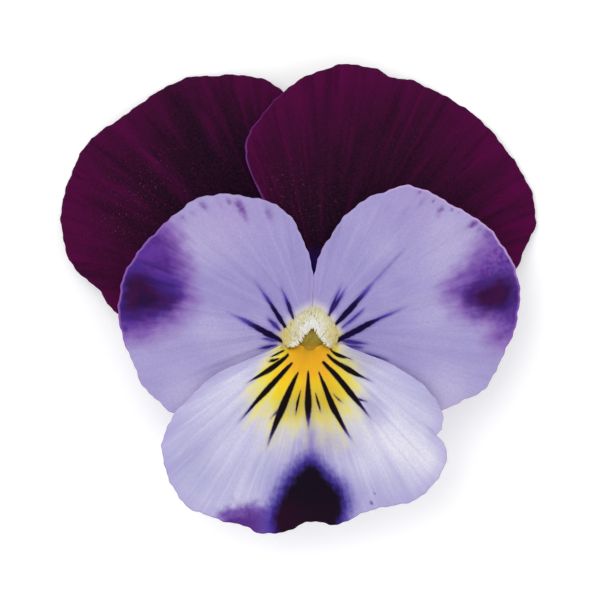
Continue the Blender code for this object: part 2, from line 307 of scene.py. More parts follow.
def off_segment(
    x: Array, y: Array, start: Sequence[float], end: Sequence[float]
) -> tuple[Array, Array]:
    """Distances from a short straight line in plan.

    Args:
        x: Plan places, across.
        y: Plan places, up.
        start: Where the line starts.
        end: Where it ends.

    Returns:
        The distance of each place, and the share of the line's way that it lies beside.
    """
    run_x, run_y = end[0] - start[0], end[1] - start[1]
    share = ((x - start[0]) * run_x + (y - start[1]) * run_y) / (run_x * run_x + run_y * run_y)
    share = np.clip(share, 0.0, 1.0)
    return np.hypot(x - start[0] - share * run_x, y - start[1] - share * run_y), share


def depth_in(x: Array, y: Array, corners: Sequence[Plan]) -> Array:
    """Distance to the edge of a closed shape in plan, positive inside it.

    Args:
        x: Plan places, across.
        y: Plan places, up.
        corners: The shape's corners in order.

    Returns:
        The signed distance at each place.
    """
    outline = smooth_curve([*corners, corners[0]], 0.5)
    nearest = np.full(x.shape, np.inf)
    inside = np.zeros(x.shape, bool)
    for start, end in zip(outline[:-1], outline[1:]):
        nearest = np.minimum(nearest, off_segment(x, y, start, end)[0])
        crosses = (start[1] > y) != (end[1] > y)
        with np.errstate(divide="ignore", invalid="ignore"):
            inside ^= crosses & (x < start[0] + (y - start[1]) * (end[0] - start[0]) / (end[1] - start[1]))
    return np.where(inside, nearest, -nearest)


@dataclass(frozen=True)
class Streak:
    """A dark guide line on a petal, widest at its peak and pointed at its far end."""

    start: Plan
    end: Plan
    width: float
    bend: float = 0.0
    peak: float = 0.4
    violet: float = 0.0
    strength: float = 1.0
    blunt: float = 0.25
    fade: float = 0.66

    def course(self) -> tuple[Array, Array]:
        """Works out the streak's middle line.

        Returns:
            Points of the line, and at each of them half the width, how violet it is and how strong.
        """
        start, end = np.array(self.start), np.array(self.end)
        run = end - start
        share = np.linspace(0.0, 1.0, STREAK_POINTS)
        sideways = np.array([-run[1], run[0]]) * self.bend
        points = start + share[:, None] * run + (4 * share * (1 - share))[:, None] * sideways
        rising = self.blunt + (1 - self.blunt) * (share / self.peak) ** 0.8
        falling = np.maximum((1 - share) / (1 - self.peak), 1e-3) ** 0.95
        half = self.width / 2 * PEAK_GAIN * (rising**-5 + falling**-5) ** -0.2
        violet = np.maximum(self.violet, ease((share - self.fade) / VIOLET_RUN))
        strength = self.strength * ease((FADE_END - share) / (FADE_RUN - self.fade))
        return points, np.stack([half, violet, strength])


def streak_fields(x: Array, y: Array, streaks: Sequence[Streak]) -> dict[str, Array]:
    """Distances into the streaks, and how violet and how strong the nearest one is there.

    Args:
        x: Plan places, across.
        y: Plan places, up.
        streaks: The petal's streaks.

    Returns:
        Named values for the petal's mesh.
    """
    found = [np.full(x.shape, -FAR), np.zeros(x.shape), np.zeros(x.shape)]
    for streak in streaks:
        points, held = streak.course()
        (left, low), (right, high) = points.min(axis=0) - STREAK_MARGIN, points.max(axis=0) + STREAK_MARGIN
        near = np.nonzero((x > left) & (x < right) & (y > low) & (y < high))
        for number, (start, end) in enumerate(zip(points[:-1], points[1:])):
            distance, t = off_segment(x[near], y[near], start, end)
            here = [first + (last - first) * t for first, last in zip(held[:, number], held[:, number + 1])]
            here[0] = here[0] - distance
            nearer = here[0] > found[0][near]
            for field, value in zip(found, here):
                field[near] = np.where(nearer, value, field[near])
    return dict(zip(("streak", "streak_violet", "streak_strength"), found))


def dash_field(x: Array, y: Array, dashes: Sequence[Dash]) -> Array:
    """Soft dashes that point away from the seat.

    Args:
        x: Plan places, across.
        y: Plan places, up.
        dashes: Middle, half length, half width and strength of each.

    Returns:
        Strength at each place, 0 to 1.
    """
    strength = np.zeros(x.shape)
    for middle_x, middle_y, length, width, weight in dashes:
        turn = math.atan2(middle_y - SEAT_Y, middle_x - SEAT_X)
        out = (x - middle_x) * math.cos(turn) + (y - middle_y) * math.sin(turn)
        side = -(x - middle_x) * math.sin(turn) + (y - middle_y) * math.cos(turn)
        reach = np.sqrt((out / length) ** 2 + (side / width) ** 2)
        strength = np.maximum(strength, weight * np.exp(-1.1 * reach**2))
    return strength


def ring_faces(rings: int, sides: int) -> Faces:
    """Faces that join rings of points into a closed tube.

    Args:
        rings: How many rings there are.
        sides: How many points each has.

    Returns:
        The faces; the middle points of both ends are numbered after the rings.
    """
    faces: Faces = []
    for row in range(rings - 1):
        for side in range(sides):
            here, there = row * sides + side, row * sides + (side + 1) % sides
            faces.append((here, there, there + sides, here + sides))
    for side in range(sides):
        after = (side + 1) % sides
        faces.append((after, side, rings * sides))
        faces.append(((rings - 1) * sides + side, (rings - 1) * sides + after, rings * sides + 1))
    return faces


def fluted(radii: Array, sides: int, flutes: Sequence[Plan]) -> Array:
    """Radii of a tube with shallow ridges along it.

    Args:
        radii: The plain radii along the tube.
        sides: How many sides it has.
        flutes: Each kind of ridge: how many there are round the tube, and their share of the radius.

    Returns:
        A radius for every side, all along the tube.
    """
    turns = np.arange(sides) * 2 * math.pi / sides
    shape = np.ones(sides)
    for count, size in flutes:
        shape = shape + size * np.cos(count * turns)
    return radii[:, None] * shape[None]


def added(name: str, data: bpy.types.ID) -> Object:
    """Makes an object and links it into the scene.

    Args:
        name: Its name.
        data: The mesh, lamp or camera that it holds.

    Returns:
        The object.
    """
    made = bpy.data.objects.new(name, data)
    bpy.context.scene.collection.objects.link(made)
    return made


class MeshParts:
    """Collects closed pieces of mesh, in millimetres, and makes one object of them."""

    def __init__(self) -> None:
        """Starts with nothing in it."""
        self.points: list[Array] = []
        self.faces: Faces = []
        self.values: dict[str, list[Array]] = {}
        self.count = 0

    def add(self, points: Array, faces: Faces, values: dict[str, Array]) -> None:
        """Adds one closed piece.

        Args:
            points: Its points.
            faces: Its faces, by the numbers of its own points.
            values: A value, or three, for each point, by name.
        """
        for name, held in values.items():
            self.values.setdefault(name, []).append(np.asarray(held, float))
        self.faces.extend(tuple(corner + self.count for corner in face) for face in faces)
        self.points.append(points)
        self.count += len(points)

    def sheet(self, middle: Array, thickness: Array, fields: dict[str, Array]) -> None:
        """Adds a thin closed sheet.

        Args:
            middle: Its middle surface, as rows and columns of points.
            thickness: How thick it is at each of those.
            fields: Values for each of those, by name.
        """
        rows, columns = middle.shape[:2]
        normal = np.cross(np.gradient(middle, axis=0), np.gradient(middle, axis=1))
        normal /= np.maximum(np.linalg.norm(normal, axis=2, keepdims=True), 1e-9)
        offset = normal * thickness[..., None] / 2
        points = np.concatenate([(middle + offset).reshape(-1, 3), (middle - offset).reshape(-1, 3)])
        under = rows * columns
        number = np.arange(under).reshape(rows, columns)
        a, b, c, d = number[:-1, :-1], number[1:, :-1], number[1:, 1:], number[:-1, 1:]
        top = np.stack([a, b, c, d], -1).reshape(-1, 4)
        edge = np.concatenate([number[0], number[1:, -1], number[-1, -2::-1], number[-2:0:-1, 0]])
        around = np.stack([edge, np.roll(edge, -1), np.roll(edge, -1) + under, edge + under], 1)
        faces = [tuple(face) for face in np.concatenate([top, top[:, ::-1] + under, around]).tolist()]
        values = {}
        for name, held in fields.items():
            flat = held.reshape(under, -1).squeeze()
            values[name] = np.concatenate([flat, flat])
        values["face_up"] = np.concatenate([np.ones(under), np.zeros(under)])
        self.add(points, faces, values)

    def tube(self, path: Array, radii: Array, sides: int, tag: float = 0.0) -> None:
        """Adds a closed tube.

        Args:
            path: Points of its middle line.
            radii: For each of them a radius, or one for every side.
            sides: How many sides it has.
            tag: A value that tells it from others.
        """
        forward = np.gradient(path, axis=0)
        forward /= np.linalg.norm(forward, axis=1, keepdims=True)
        first = np.cross(forward[0], (0.31, 0.83, 0.46))
        across = [first / np.linalg.norm(first)]
        for way in forward[1:]:
            kept = across[-1] - way * np.dot(across[-1], way)
            across.append(kept / np.linalg.norm(kept))
        right = np.array(across)
        up = np.cross(forward, right)
        turns = np.arange(sides) * 2 * math.pi / sides
        size = radii[:, None] if radii.ndim == 1 else radii
        size = np.broadcast_to(size, (len(path), sides))[..., None]
        ring = right[:, None] * np.cos(turns)[None, :, None] + up[:, None] * np.sin(turns)[None, :, None]
        points = np.concatenate([(path[:, None] + ring * size).reshape(-1, 3), path[[0]], path[[-1]]])
        rings = len(path)
        grown = np.concatenate([np.repeat(np.linspace(0, 1, rings), sides), [0.0, 1.0]])
        self.add(points, ring_faces(rings, sides), {"grown": grown, "tag": np.full(len(points), tag)})

    def object(self, name: str, material: Material) -> Object:
        """Makes the object.

        Args:
            name: Its name.
            material: Its finish.

        Returns:
            The object, linked into the scene.
        """
        mesh = bpy.data.meshes.new(name)
        mesh.from_pydata((np.concatenate(self.points) * MM).tolist(), [], self.faces)
        for key, parts in self.values.items():
            held = np.concatenate(parts)
            kind, item = ("FLOAT_VECTOR", "vector") if held.ndim == 2 else ("FLOAT", "value")
            mesh.attributes.new(key, kind, "POINT").data.foreach_set(item, held.astype(np.float32).ravel())
        mesh.polygons.foreach_set("use_smooth", [True] * len(mesh.polygons))
        mesh.materials.append(material)
        return added(name, mesh)


def place(made: Object, slot: Slot, *nodes: str) -> Object:
    """Gives a piece its body, and hides the nodes that it stands for.

    Args:
        made: The piece.
        slot: Not used; the record's slot for its finish.
        nodes: The nodes that it replaces.

    Returns:
        The same piece.
    """
    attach(made, "root")
    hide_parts(*nodes)
    LOG.info("%s: %d faces for %s", made.name, len(made.data.polygons), ", ".join(nodes))
    return made


class Graph:
    """The node tree of one material, with short calls for the nodes that the finishes use."""

    def __init__(self, name: str) -> None:
        """Starts a material.

        Args:
            name: The material's name.
        """
        self.material = bpy.data.materials.new(name)
        self.material.use_nodes = True
        self.tree = self.material.node_tree
        self.shader = self.tree.nodes["Principled BSDF"]

    def feed(self, socket: Socket, value: Value | Colour) -> None:
        """Gives a socket its value.

        Args:
            socket: The socket.
            value: Another node's socket, which is linked to it, or a plain value, which is set.
        """
        if isinstance(value, Socket):
            self.tree.links.new(value, socket)
        else:
            socket.default_value = value

    def set(self, **settings: float | Colour) -> None:
        """Sets plain values on the shader, with underscores for the spaces in the sockets' names."""
        for name, value in settings.items():
            self.shader.inputs[name.replace("_", " ")].default_value = value

    def node(self, kind: str, inputs: dict[str | int, Value | Colour], **settings: str) -> bpy.types.Node:
        """Adds a node.

        Args:
            kind: Its type.
            inputs: What goes into its sockets, by their names or numbers.
            settings: Its own choices.

        Returns:
            The node.
        """
        made = self.tree.nodes.new("ShaderNode" + kind)
        for name, choice in settings.items():
            setattr(made, name, choice)
        for key, value in inputs.items():
            self.feed(made.inputs[key], value)
        return made

    def math(self, operation: str, a: Value, b: Value) -> Socket:
        """One sum on two values."""
        return self.node("Math", {0: a, 1: b}, operation=operation).outputs[0]

    def times(self, a: Value, b: Value) -> Socket:
        """The two multiplied."""
        return self.math("MULTIPLY", a, b)

    def plus(self, a: Value, b: Value) -> Socket:
        """The two added."""
        return self.math("ADD", a, b)

    def held(self, name: str) -> Socket:
        """The value that the mesh holds under this name."""
        return self.node("Attribute", {}, attribute_name=name).outputs["Fac"]

    def noise(self, vector: Socket, scale: float, detail: float) -> Socket:
        """Noise about 0.5.

        Args:
            vector: Where it is read.
            scale: How fine it is.
            detail: How many finer layers it has.

        Returns:
            The noise, 0 to 1.
        """
        inputs = {"Vector": vector, "Scale": scale, "Detail": detail}
        return self.node("TexNoise", inputs).outputs["Fac"]

    def veins(self, fine: float, length: float = 0.12, detail: float = 3.0) -> Socket:
        """Noise drawn out along the piece, by the fan vector that its mesh holds.

        Args:
            fine: How fine it is across.
            length: How fine it is along.
            detail: How many finer layers it has.

        Returns:
            The noise, 0 to 1.
        """
        fan = self.node("Attribute", {}, attribute_name="fan").outputs["Vector"]
        drawn = self.node("VectorMath", {0: fan, 1: (fine, length, 0.0)}, operation="MULTIPLY")
        return self.noise(drawn.outputs[0], 1.0, detail)

    def swing(self, noise: Socket, size: float) -> Socket:
        """The noise moved to lie about zero and scaled to this size."""
        return self.times(self.plus(noise, -0.5), size)

    def plan(self) -> Socket:
        """The place on the object, in millimetres."""
        source = self.node("TexCoord", {}).outputs["Object"]
        return self.node("VectorMath", {0: source, "Scale": 1 / MM}, operation="SCALE").outputs[0]

    def step(self, value: Value, low: float, high: float) -> Socket:
        """A smooth step.

        Args:
            value: The value to read.
            low: Where the step starts.
            high: Where it ends, which may be the lower of the two.

        Returns:
            0 before the step, 1 past it.
        """
        ends = (low, high, 0.0, 1.0) if low < high else (high, low, 1.0, 0.0)
        inputs = dict(zip(("Value", "From Min", "From Max", "To Min", "To Max"), (value, *ends)))
        return self.node("MapRange", inputs, interpolation_type="SMOOTHSTEP").outputs[0]

    def mix(self, share: Value, first: Value | Colour, second: Value | Colour) -> Socket:
        """One colour laid over another.

        Args:
            share: How much of the second shows.
            first: The colour beneath.
            second: The colour above.

        Returns:
            The mixed colour.
        """
        return self.node("Mix", {0: share, 6: first, 7: second}, data_type="RGBA").outputs[2]

    def wash(self, under: Value | Colour, tone: Value | Colour, where: Value, weight: Value) -> Socket:
        """A tone laid over a colour.

        Args:
            under: The colour beneath.
            tone: The tone.
            where: Where it lies, 0 to 1.
            weight: How much of it shows there.

        Returns:
            The new colour.
        """
        return self.mix(self.times(where, weight), under, tone)

    def ramp(self, share: Value, stops: Stops) -> Socket:
        """A course of colours.

        Args:
            share: Where on the course.
            stops: Each place on it with its colour.

        Returns:
            The colour.
        """
        node = self.node("ValToRGB", {0: share})
        elements = node.color_ramp.elements
        while len(elements) < len(stops):
            elements.new(0.5)
        for element, (position, colour) in zip(elements, stops):
            element.position = position
            element.color = colour
        return node.outputs[0]

    def finish(self, colour: Socket, relief: Socket, height: float) -> Material:
        """Joins the colour and the relief to the shader.

        Args:
            colour: The surface colour.
            relief: The relief, 0 to 1.
            height: What 1 stands for, in millimetres.

        Returns:
            The finished material.
        """
        self.feed(self.shader.inputs["Base Color"], colour)
        bump = self.node("Bump", {"Strength": 1.0, "Distance": height * MM, "Height": relief})
        self.feed(self.shader.inputs["Normal"], bump.outputs[0])
        return self.material


@dataclass(frozen=True)
class PetalSkin:
    """What all petals share: fine veins that fan out, cells like velvet, and soft ink."""

    name: str
    sheen_tint: Colour
    grain: Colour
    back: tuple[Colour, Colour]
    roughness: float = 0.7
    specular: float = 0.05
    sheen: float = 0.04
    halo: float = 0.3
    ink: Colour = tint(19, 3, 50)
    violet: Colour = tint(76, 50, 160)
    back_fineness: float = 1.2
    relief_height: float = 0.05

    def start(self) -> Graph:
        """Starts the material with its plain values.

        Returns:
            The material's nodes.
        """
        graph = Graph(self.name)
        graph.set(Roughness=self.roughness, Specular_IOR_Level=self.specular)
        graph.set(Sheen_Weight=self.sheen, Sheen_Roughness=0.45, Sheen_Tint=self.sheen_tint)
        graph.set(Subsurface_Weight=0.08, Subsurface_Scale=0.0004)
        return graph

    def inked(self, graph: Graph, colour: Socket) -> Socket:
        """Lays the streaks over a colour.

        Args:
            graph: The material's nodes.
            colour: The colour beneath.

        Returns:
            The colour with the streaks.
        """
        wobble = graph.swing(graph.noise(graph.plan(), 4.0, 3.0), 0.07)
        depth = graph.plus(graph.held("streak"), wobble)
        violet = graph.held("streak_violet")
        strength = graph.held("streak_strength")
        halo = graph.times(graph.step(depth, -0.28, 0.03), graph.plus(graph.times(violet, 0.35), self.halo))
        line = graph.mix(violet, self.ink, self.violet)
        return graph.wash(graph.wash(colour, self.violet, halo, strength), line,
                          graph.step(depth, -0.06, 0.06), strength)

    def grained(self, graph: Graph, colour: Socket) -> Socket:
        """Lays the fine grain of the cells over a colour."""
        cells = graph.step(graph.noise(graph.plan(), 6.0, 2.0), 0.42, 0.62)
        return graph.wash(colour, self.grain, cells, 0.14)

    def plain_back(self, graph: Graph) -> Socket:
        """The colour of the petal's back, in two tones along the veins."""
        return graph.mix(graph.veins(self.back_fineness), *self.back)

    def closed(self, graph: Graph, face: Socket, back: Socket) -> Material:
        """Joins face and back, and gives both a relief of veins and cells.

        Args:
            graph: The material's nodes.
            face: The colour of the face.
            back: The colour of the back.

        Returns:
            The finished material.
        """
        cells = graph.noise(graph.plan(), 9.0, 2.0)
        relief = graph.plus(graph.times(graph.veins(2.2), 0.5), graph.times(cells, 0.5))
        return graph.finish(graph.mix(graph.held("face_up"), back, face), relief, self.relief_height)


@dataclass(frozen=True)
class VelvetSkin(PetalSkin):
    """The dark upper petals: burgundy velvet, near black towards the claw."""

    name: str = "petal_velvet"
    sheen_tint: Colour = tint(200, 90, 160)
    grain: Colour = tint(96, 20, 76)
    back: tuple[Colour, Colour] = (tint(62, 24, 62), tint(96, 52, 104))
    roughness: float = 0.85
    specular: float = 0.02
    sheen: float = 0.03
    back_fineness: float = 1.3
    relief_height: float = 0.04
    course: Stops = (
        (0.0, tint(20, 10, 28)), (0.42, tint(26, 12, 26)), (0.64, tint(40, 12, 34)),
        (0.82, tint(58, 11, 45)), (1.0, tint(74, 9, 56)),
    )
    ray: Colour = tint(90, 6, 66)
    shade: Colour = tint(26, 8, 24)
    bright_ray: Colour = tint(92, 10, 72)
    speck: Colour = tint(146, 80, 76)
    blue: Colour = tint(44, 28, 112)
    lit_edge: Colour = tint(116, 58, 142)

    def material(self) -> Material:
        """Makes the material.

        Returns:
            The finished material.
        """
        graph = self.start()
        broad = graph.swing(graph.veins(0.5, 0.09), 0.5)
        share = graph.plus(graph.plus(graph.held("grown"), graph.held("warm")), broad)
        colour = graph.ramp(share, self.course)
        rays = graph.step(graph.veins(1.6, 0.09), 0.5, 0.72)
        colour = graph.wash(colour, self.ray, rays, graph.times(share, 0.5))
        shade = graph.step(graph.veins(2.6, 0.14), 0.48, 0.7)
        colour = graph.wash(colour, self.shade, shade, 0.45)
        colour = self.grained(graph, colour)
        broken = graph.step(graph.veins(2.2, 0.3), 0.3, 0.62)
        colour = graph.wash(colour, self.bright_ray, graph.held("ray"), graph.times(broken, 0.75))
        speck = graph.step(graph.noise(graph.plan(), 9.0, 0.0), 0.75, 0.83)
        colour = graph.wash(colour, self.speck, speck, graph.held("specks"))
        colour = graph.wash(colour, self.blue, graph.held("blue"), 0.85)
        edge = graph.times(graph.step(graph.held("rim_gap"), 0.17, 0.04), graph.held("lit_rim"))
        colour = graph.wash(colour, self.lit_edge, edge, 0.8)
        return self.closed(graph, colour, self.plain_back(graph))


@dataclass(frozen=True)
class LilacSkin(PetalSkin):
    """The side petals: lavender with a violet blotch at the outer rim."""

    name: str = "petal_lavender"
    sheen_tint: Colour = tint(225, 215, 245)
    grain: Colour = tint(124, 110, 176)
    back: tuple[Colour, Colour] = (tint(150, 140, 190), tint(190, 182, 216))
    back_stain: Colour = tint(120, 84, 160)
    course: Stops = ((0.3, tint(149, 140, 194)), (0.5, tint(155, 145, 197)), (0.7, tint(162, 152, 200)))
    # The tone of the painted light on the side petals; where its spots are below zero the same wash paints
    # shade
    light: Colour = tint(196, 188, 221)
    ray: Colour = tint(190, 182, 218)
    line: Colour = tint(132, 120, 186)
    pink: Colour = tint(172, 146, 196)
    blotch: Colour = tint(76, 42, 146)
    blotch_warm: Colour = tint(90, 44, 142)
    blotch_stripe: Colour = tint(48, 22, 96)
    blotch_dark: Colour = tint(33, 9, 50)
    blotch_maroon: Colour = tint(58, 10, 56)
    blotch_edge: Colour = tint(126, 82, 168)
    blotch_pink: Colour = tint(128, 84, 164)
    dash: Colour = tint(106, 54, 144)
    glow_white: Colour = tint(210, 203, 204)
    glow_yellow: Colour = tint(220, 208, 138)
    # Painted highlight along the rim: a thin lighter line, violet near the blotch and brightest where the rim
    # is lit
    edge: Colour = tint(184, 158, 212)
    rim_highlight_blotch: Colour = tint(148, 100, 188)
    edge_lit: Colour = tint(200, 166, 222)

    def stained(self, graph: Graph, colour: Socket, depth: Socket, uneven: Socket) -> Socket:
        """Lays the violet blotch over a colour: a soft edge, dark stripes and a maroon core.

        Args:
            graph: The material's nodes.
            colour: The colour beneath.
            depth: Distance into the blotch, already uneven.
            uneven: The unevenness along the veins and in spots.

        Returns:
            The colour with the blotch.
        """
        colour = graph.wash(colour, self.blotch_edge, graph.step(depth, -1.4, 0.6), 0.8)
        drift = graph.step(graph.noise(graph.plan(), 0.45, 3.0), 0.4, 0.62)
        inner = graph.mix(drift, self.blotch, self.blotch_warm)
        rough = graph.step(graph.noise(graph.plan(), 2.6, 4.0), 0.26, 0.66)
        inner = graph.wash(inner, self.blotch_pink, graph.held("pink"), rough)
        colour = graph.wash(colour, inner, graph.step(depth, -0.2, 1.5), 0.95)
        clouds = graph.times(graph.step(graph.noise(graph.plan(), 0.95, 4.0), 0.42, 0.64), 0.55)
        stripes = graph.math("MAXIMUM", graph.step(graph.veins(1.3, 0.14), 0.42, 0.72), clouds)
        stripes = graph.times(stripes, graph.step(depth, 0.2, 1.8))
        less_in_pink = graph.math("SUBTRACT", 0.85, graph.times(graph.held("pink"), 0.7))
        colour = graph.wash(colour, self.blotch_stripe, stripes, less_in_pink)
        core = graph.plus(graph.held("blotch_core"), graph.times(uneven, 0.8))
        ruddy = graph.step(graph.noise(graph.plan(), 0.7, 3.0), 0.32, 0.68)
        dark = graph.mix(ruddy, self.blotch_dark, self.blotch_maroon)
        dark = graph.mix(graph.step(core, -0.6, 0.7), self.blotch_stripe, dark)
        return graph.wash(colour, dark, graph.step(core, -1.15, 0.65), 0.95)

    def material(self) -> Material:
        """Makes the material.

        Returns:
            The finished material.
        """
        graph = self.start()
        colour = graph.ramp(graph.noise(graph.plan(), 0.3, 3.0), self.course)
        # Painted light and shade: soft lighter and darker spots where the blade's undulations catch the light
        # or lie in shade
        colour = graph.wash(colour, self.light, graph.held("light"), 0.75)
        colour = graph.wash(colour, self.ray, graph.step(graph.veins(1.2, 0.1), 0.42, 0.7), 0.2)
        colour = graph.wash(colour, self.line, graph.step(graph.veins(2.8, 0.12), 0.5, 0.74), 0.16)
        colour = graph.wash(colour, self.pink, graph.held("pink"), 0.4)
        colour = self.grained(graph, colour)
        feather = graph.swing(graph.veins(2.2, 0.3), 1.1)
        uneven = graph.plus(feather, graph.swing(graph.noise(graph.plan(), 1.1, 4.0), 1.3))
        depth = graph.plus(graph.held("blotch"), uneven)
        colour = self.stained(graph, colour, depth, uneven)
        ragged = graph.swing(graph.noise(graph.plan(), 3.4, 2.0), 1.3)
        dash = graph.plus(graph.held("dash"), graph.times(graph.plus(feather, ragged), graph.held("dash")))
        colour = graph.wash(colour, self.dash, graph.step(dash, 0.0, 1.0), 0.92)
        glow = graph.plus(graph.held("glow"), graph.swing(graph.veins(3.0), 0.5))
        gleam = graph.mix(graph.held("low"), self.glow_white, self.glow_yellow)
        colour = graph.wash(colour, gleam, graph.step(glow, 0.18, 1.02), 0.92)
        colour = self.inked(graph, colour)
        # Painted highlight: a thin lighter line along the rim, stronger near the blotch and where the rim is
        # lit
        near = graph.step(graph.held("blotch"), -1.6, 0.2)
        lit = graph.held("lit_rim")
        strength = graph.plus(0.35, graph.times(near, 0.45))
        strength = graph.math("MAXIMUM", strength, graph.times(lit, 0.85))
        tone = graph.mix(lit, graph.mix(near, self.edge, self.rim_highlight_blotch), self.edge_lit)
        colour = graph.wash(colour, tone, graph.step(graph.held("rim_gap"), 0.24, 0.05), strength)
        back = graph.wash(self.plain_back(graph), self.back_stain, graph.step(depth, -0.6, 1.2), 0.45)
        return self.closed(graph, colour, back)


@dataclass(frozen=True)
class PaleSkin(PetalSkin):
    """The lower petal: pale lavender with white rays, a golden throat and a dark blotch below."""

    name: str = "petal_pale_lavender"
    sheen_tint: Colour = tint(235, 230, 250)
    grain: Colour = tint(150, 146, 190)
    back: tuple[Colour, Colour] = (tint(176, 172, 208), tint(214, 210, 228))
    back_stain: Colour = tint(96, 70, 140)
    halo: float = 0.06
    ink: Colour = tint(15, 5, 12)
    course: Stops = ((0.0, tint(170, 166, 208)), (0.5, tint(200, 197, 224)), (1.0, tint(232, 230, 238)))
    gold: Stops = (
        (0.0, tint(188, 166, 62)), (0.07, tint(212, 180, 58)), (0.13, tint(238, 188, 50)),
        (0.19, tint(245, 188, 44)), (0.31, tint(243, 184, 34)), (0.42, tint(243, 200, 28)),
        (0.54, tint(238, 212, 44)), (0.68, tint(230, 216, 92)), (0.82, tint(226, 218, 146)),
        (0.97, tint(222, 218, 182)),
    )
    line: Colour = tint(160, 154, 204)
    bright_line: Colour = tint(240, 238, 246)
    edge: Colour = tint(166, 156, 210)
    # The tone of the painted shade near the lower petal's upper right edge, where it shades itself
    painted_shade: Colour = tint(132, 126, 92)
    dusk: Colour = tint(124, 92, 66)
    haze: Colour = tint(122, 106, 184)
    patch: Colour = tint(106, 58, 160)
    patch_dark: Colour = tint(76, 28, 118)
    outer_fringe: Colour = tint(118, 98, 184)
    fringe: Colour = tint(58, 38, 142)
    blotch: Colour = tint(18, 8, 24)
    blotch_wine: Colour = tint(36, 5, 32)
    dash: Colour = tint(110, 72, 160)

    def throat(self, graph: Graph, colour: Socket) -> Socket:
        """Lays the golden throat over a colour.

        Args:
            graph: The material's nodes.
            colour: The colour beneath.

        Returns:
            The colour with the throat.
        """
        rough = graph.swing(graph.veins(1.5, 0.16), 0.56)
        rough = graph.plus(rough, graph.swing(graph.noise(graph.plan(), 0.8, 3.0), 0.5))
        reach = graph.plus(graph.held("gold"), graph.times(rough, graph.step(graph.held("gold"), 0.15, 0.7)))
        colour = graph.mix(graph.step(reach, 1.22, 0.62), colour, graph.ramp(reach, self.gold))
        # Painted shade: a grey-yellow darkening near the upper right edge beside the throat
        colour = graph.wash(colour, self.painted_shade, graph.held("painted_shade"), 0.45)
        return graph.wash(colour, self.dusk, graph.held("dusk"), 0.45)

    def stained(self, graph: Graph, colour: Socket) -> Socket:
        """Lays the dark blotch, its haze and the patch beside it over a colour.

        Args:
            graph: The material's nodes.
            colour: The colour beneath.

        Returns:
            The colour with the blotch.
        """
        colour = graph.wash(colour, self.haze, graph.held("haze"), 0.75)
        patch = graph.plus(graph.held("patch"), graph.swing(graph.noise(graph.plan(), 1.3, 4.0), 1.8))
        colour = graph.wash(colour, self.patch, graph.step(patch, -0.7, 0.6), 0.88)
        colour = graph.wash(colour, self.patch_dark, graph.step(patch, 0.2, 1.2), 0.8)
        depth = graph.plus(graph.held("blotch"), graph.swing(graph.veins(3.4, 0.4), 0.5))
        depth = graph.plus(depth, graph.swing(graph.noise(graph.plan(), 2.6, 4.0), 0.6))
        colour = graph.wash(colour, self.outer_fringe, graph.step(depth, -2.0, 0.0), 0.6)
        colour = graph.wash(colour, self.fringe, graph.step(depth, -1.35, -0.05), 0.94)
        dark = graph.mix(graph.held("wine"), self.blotch, self.blotch_wine)
        return graph.mix(graph.step(depth, -0.45, 0.4), colour, dark)

    def material(self) -> Material:
        """Makes the material.

        Returns:
            The finished material.
        """
        graph = self.start()
        white = graph.plus(graph.held("white"), graph.swing(graph.veins(1.3, 0.11), 1.0))
        colour = graph.ramp(white, self.course)
        colour = graph.wash(colour, self.line, graph.step(graph.veins(2.6, 0.1), 0.5, 0.72), 0.28)
        colour = graph.wash(colour, self.bright_line, graph.step(graph.veins(3.4, 0.15), 0.54, 0.74), 0.22)
        colour = self.grained(graph, colour)
        colour = graph.wash(colour, self.edge, graph.step(graph.held("rim_gap"), 1.3, 0.1), 0.4)
        colour = self.stained(graph, self.throat(graph, colour))
        colour = graph.mix(graph.step(graph.held("dash"), 0.06, 0.7), colour, self.dash)
        colour = self.inked(graph, colour)
        stain = graph.step(graph.held("blotch"), -0.7, 0.6)
        back = graph.wash(self.plain_back(graph), self.back_stain, stain, 0.6)
        return self.closed(graph, colour, back)


@dataclass(frozen=True)
class PlantFinish:
    """A plain plant surface: two tones drawn out along the piece, and a bump."""

    name: str
    dark: Colour
    light: Colour
    tip: Colour
    fine: float = 1.0
    roughness: float = 0.55
    specular: float = 0.3
    sheen: float = 0.1
    subsurface: float = 0.1
    veined: bool = False

    def material(self) -> Material:
        """Makes the material.

        Returns:
            The finished material.
        """
        graph = Graph(self.name)
        graph.set(Roughness=self.roughness, Specular_IOR_Level=self.specular, Sheen_Weight=self.sheen)
        graph.set(Subsurface_Weight=self.subsurface, Subsurface_Scale=0.0003)
        cells = graph.noise(graph.plan(), 2.4 * self.fine, 4.0)
        if self.veined:
            pattern = graph.veins(2.4, 0.2, 2.0)
        else:
            pattern = graph.noise(graph.plan(), 0.9 * self.fine, 2.0)
        drawn = graph.step(pattern, 0.35, 0.65)
        share = graph.plus(graph.times(cells, 0.5), graph.times(drawn, 0.5))
        colour = graph.mix(share, self.dark, self.light)
        colour = graph.wash(colour, self.light, graph.held("tag"), 0.35)
        colour = graph.mix(graph.step(graph.held("grown"), 0.45, 0.98), colour, self.tip)
        return graph.finish(colour, cells, 0.04)


@dataclass(frozen=True)
class BeardFinish:
    """Club-shaped hairs, yellowish at the outer edge and white towards the throat."""

    name: str = "beard_cream"
    course: Stops = (
        (0.0, tint(220, 194, 108)), (0.3, tint(219, 199, 136)), (0.6, tint(223, 210, 176)),
        (1.0, tint(240, 234, 226)),
    )
    club: Colour = tint(240, 235, 222)

    def material(self) -> Material:
        """Makes the material.

        Returns:
            The finished material.
        """
        graph = Graph(self.name)
        graph.set(Roughness=0.6, Specular_IOR_Level=0.15, Sheen_Weight=0.1)
        graph.set(Subsurface_Weight=0.2, Subsurface_Scale=0.0003)
        cells = graph.noise(graph.plan(), 2.2, 3.0)
        colour = graph.ramp(graph.plus(graph.held("tag"), graph.swing(cells, 0.5)), self.course)
        colour = graph.wash(colour, self.club, graph.step(graph.held("grown"), 0.5, 0.95), 0.25)
        return graph.finish(colour, cells, 0.02)


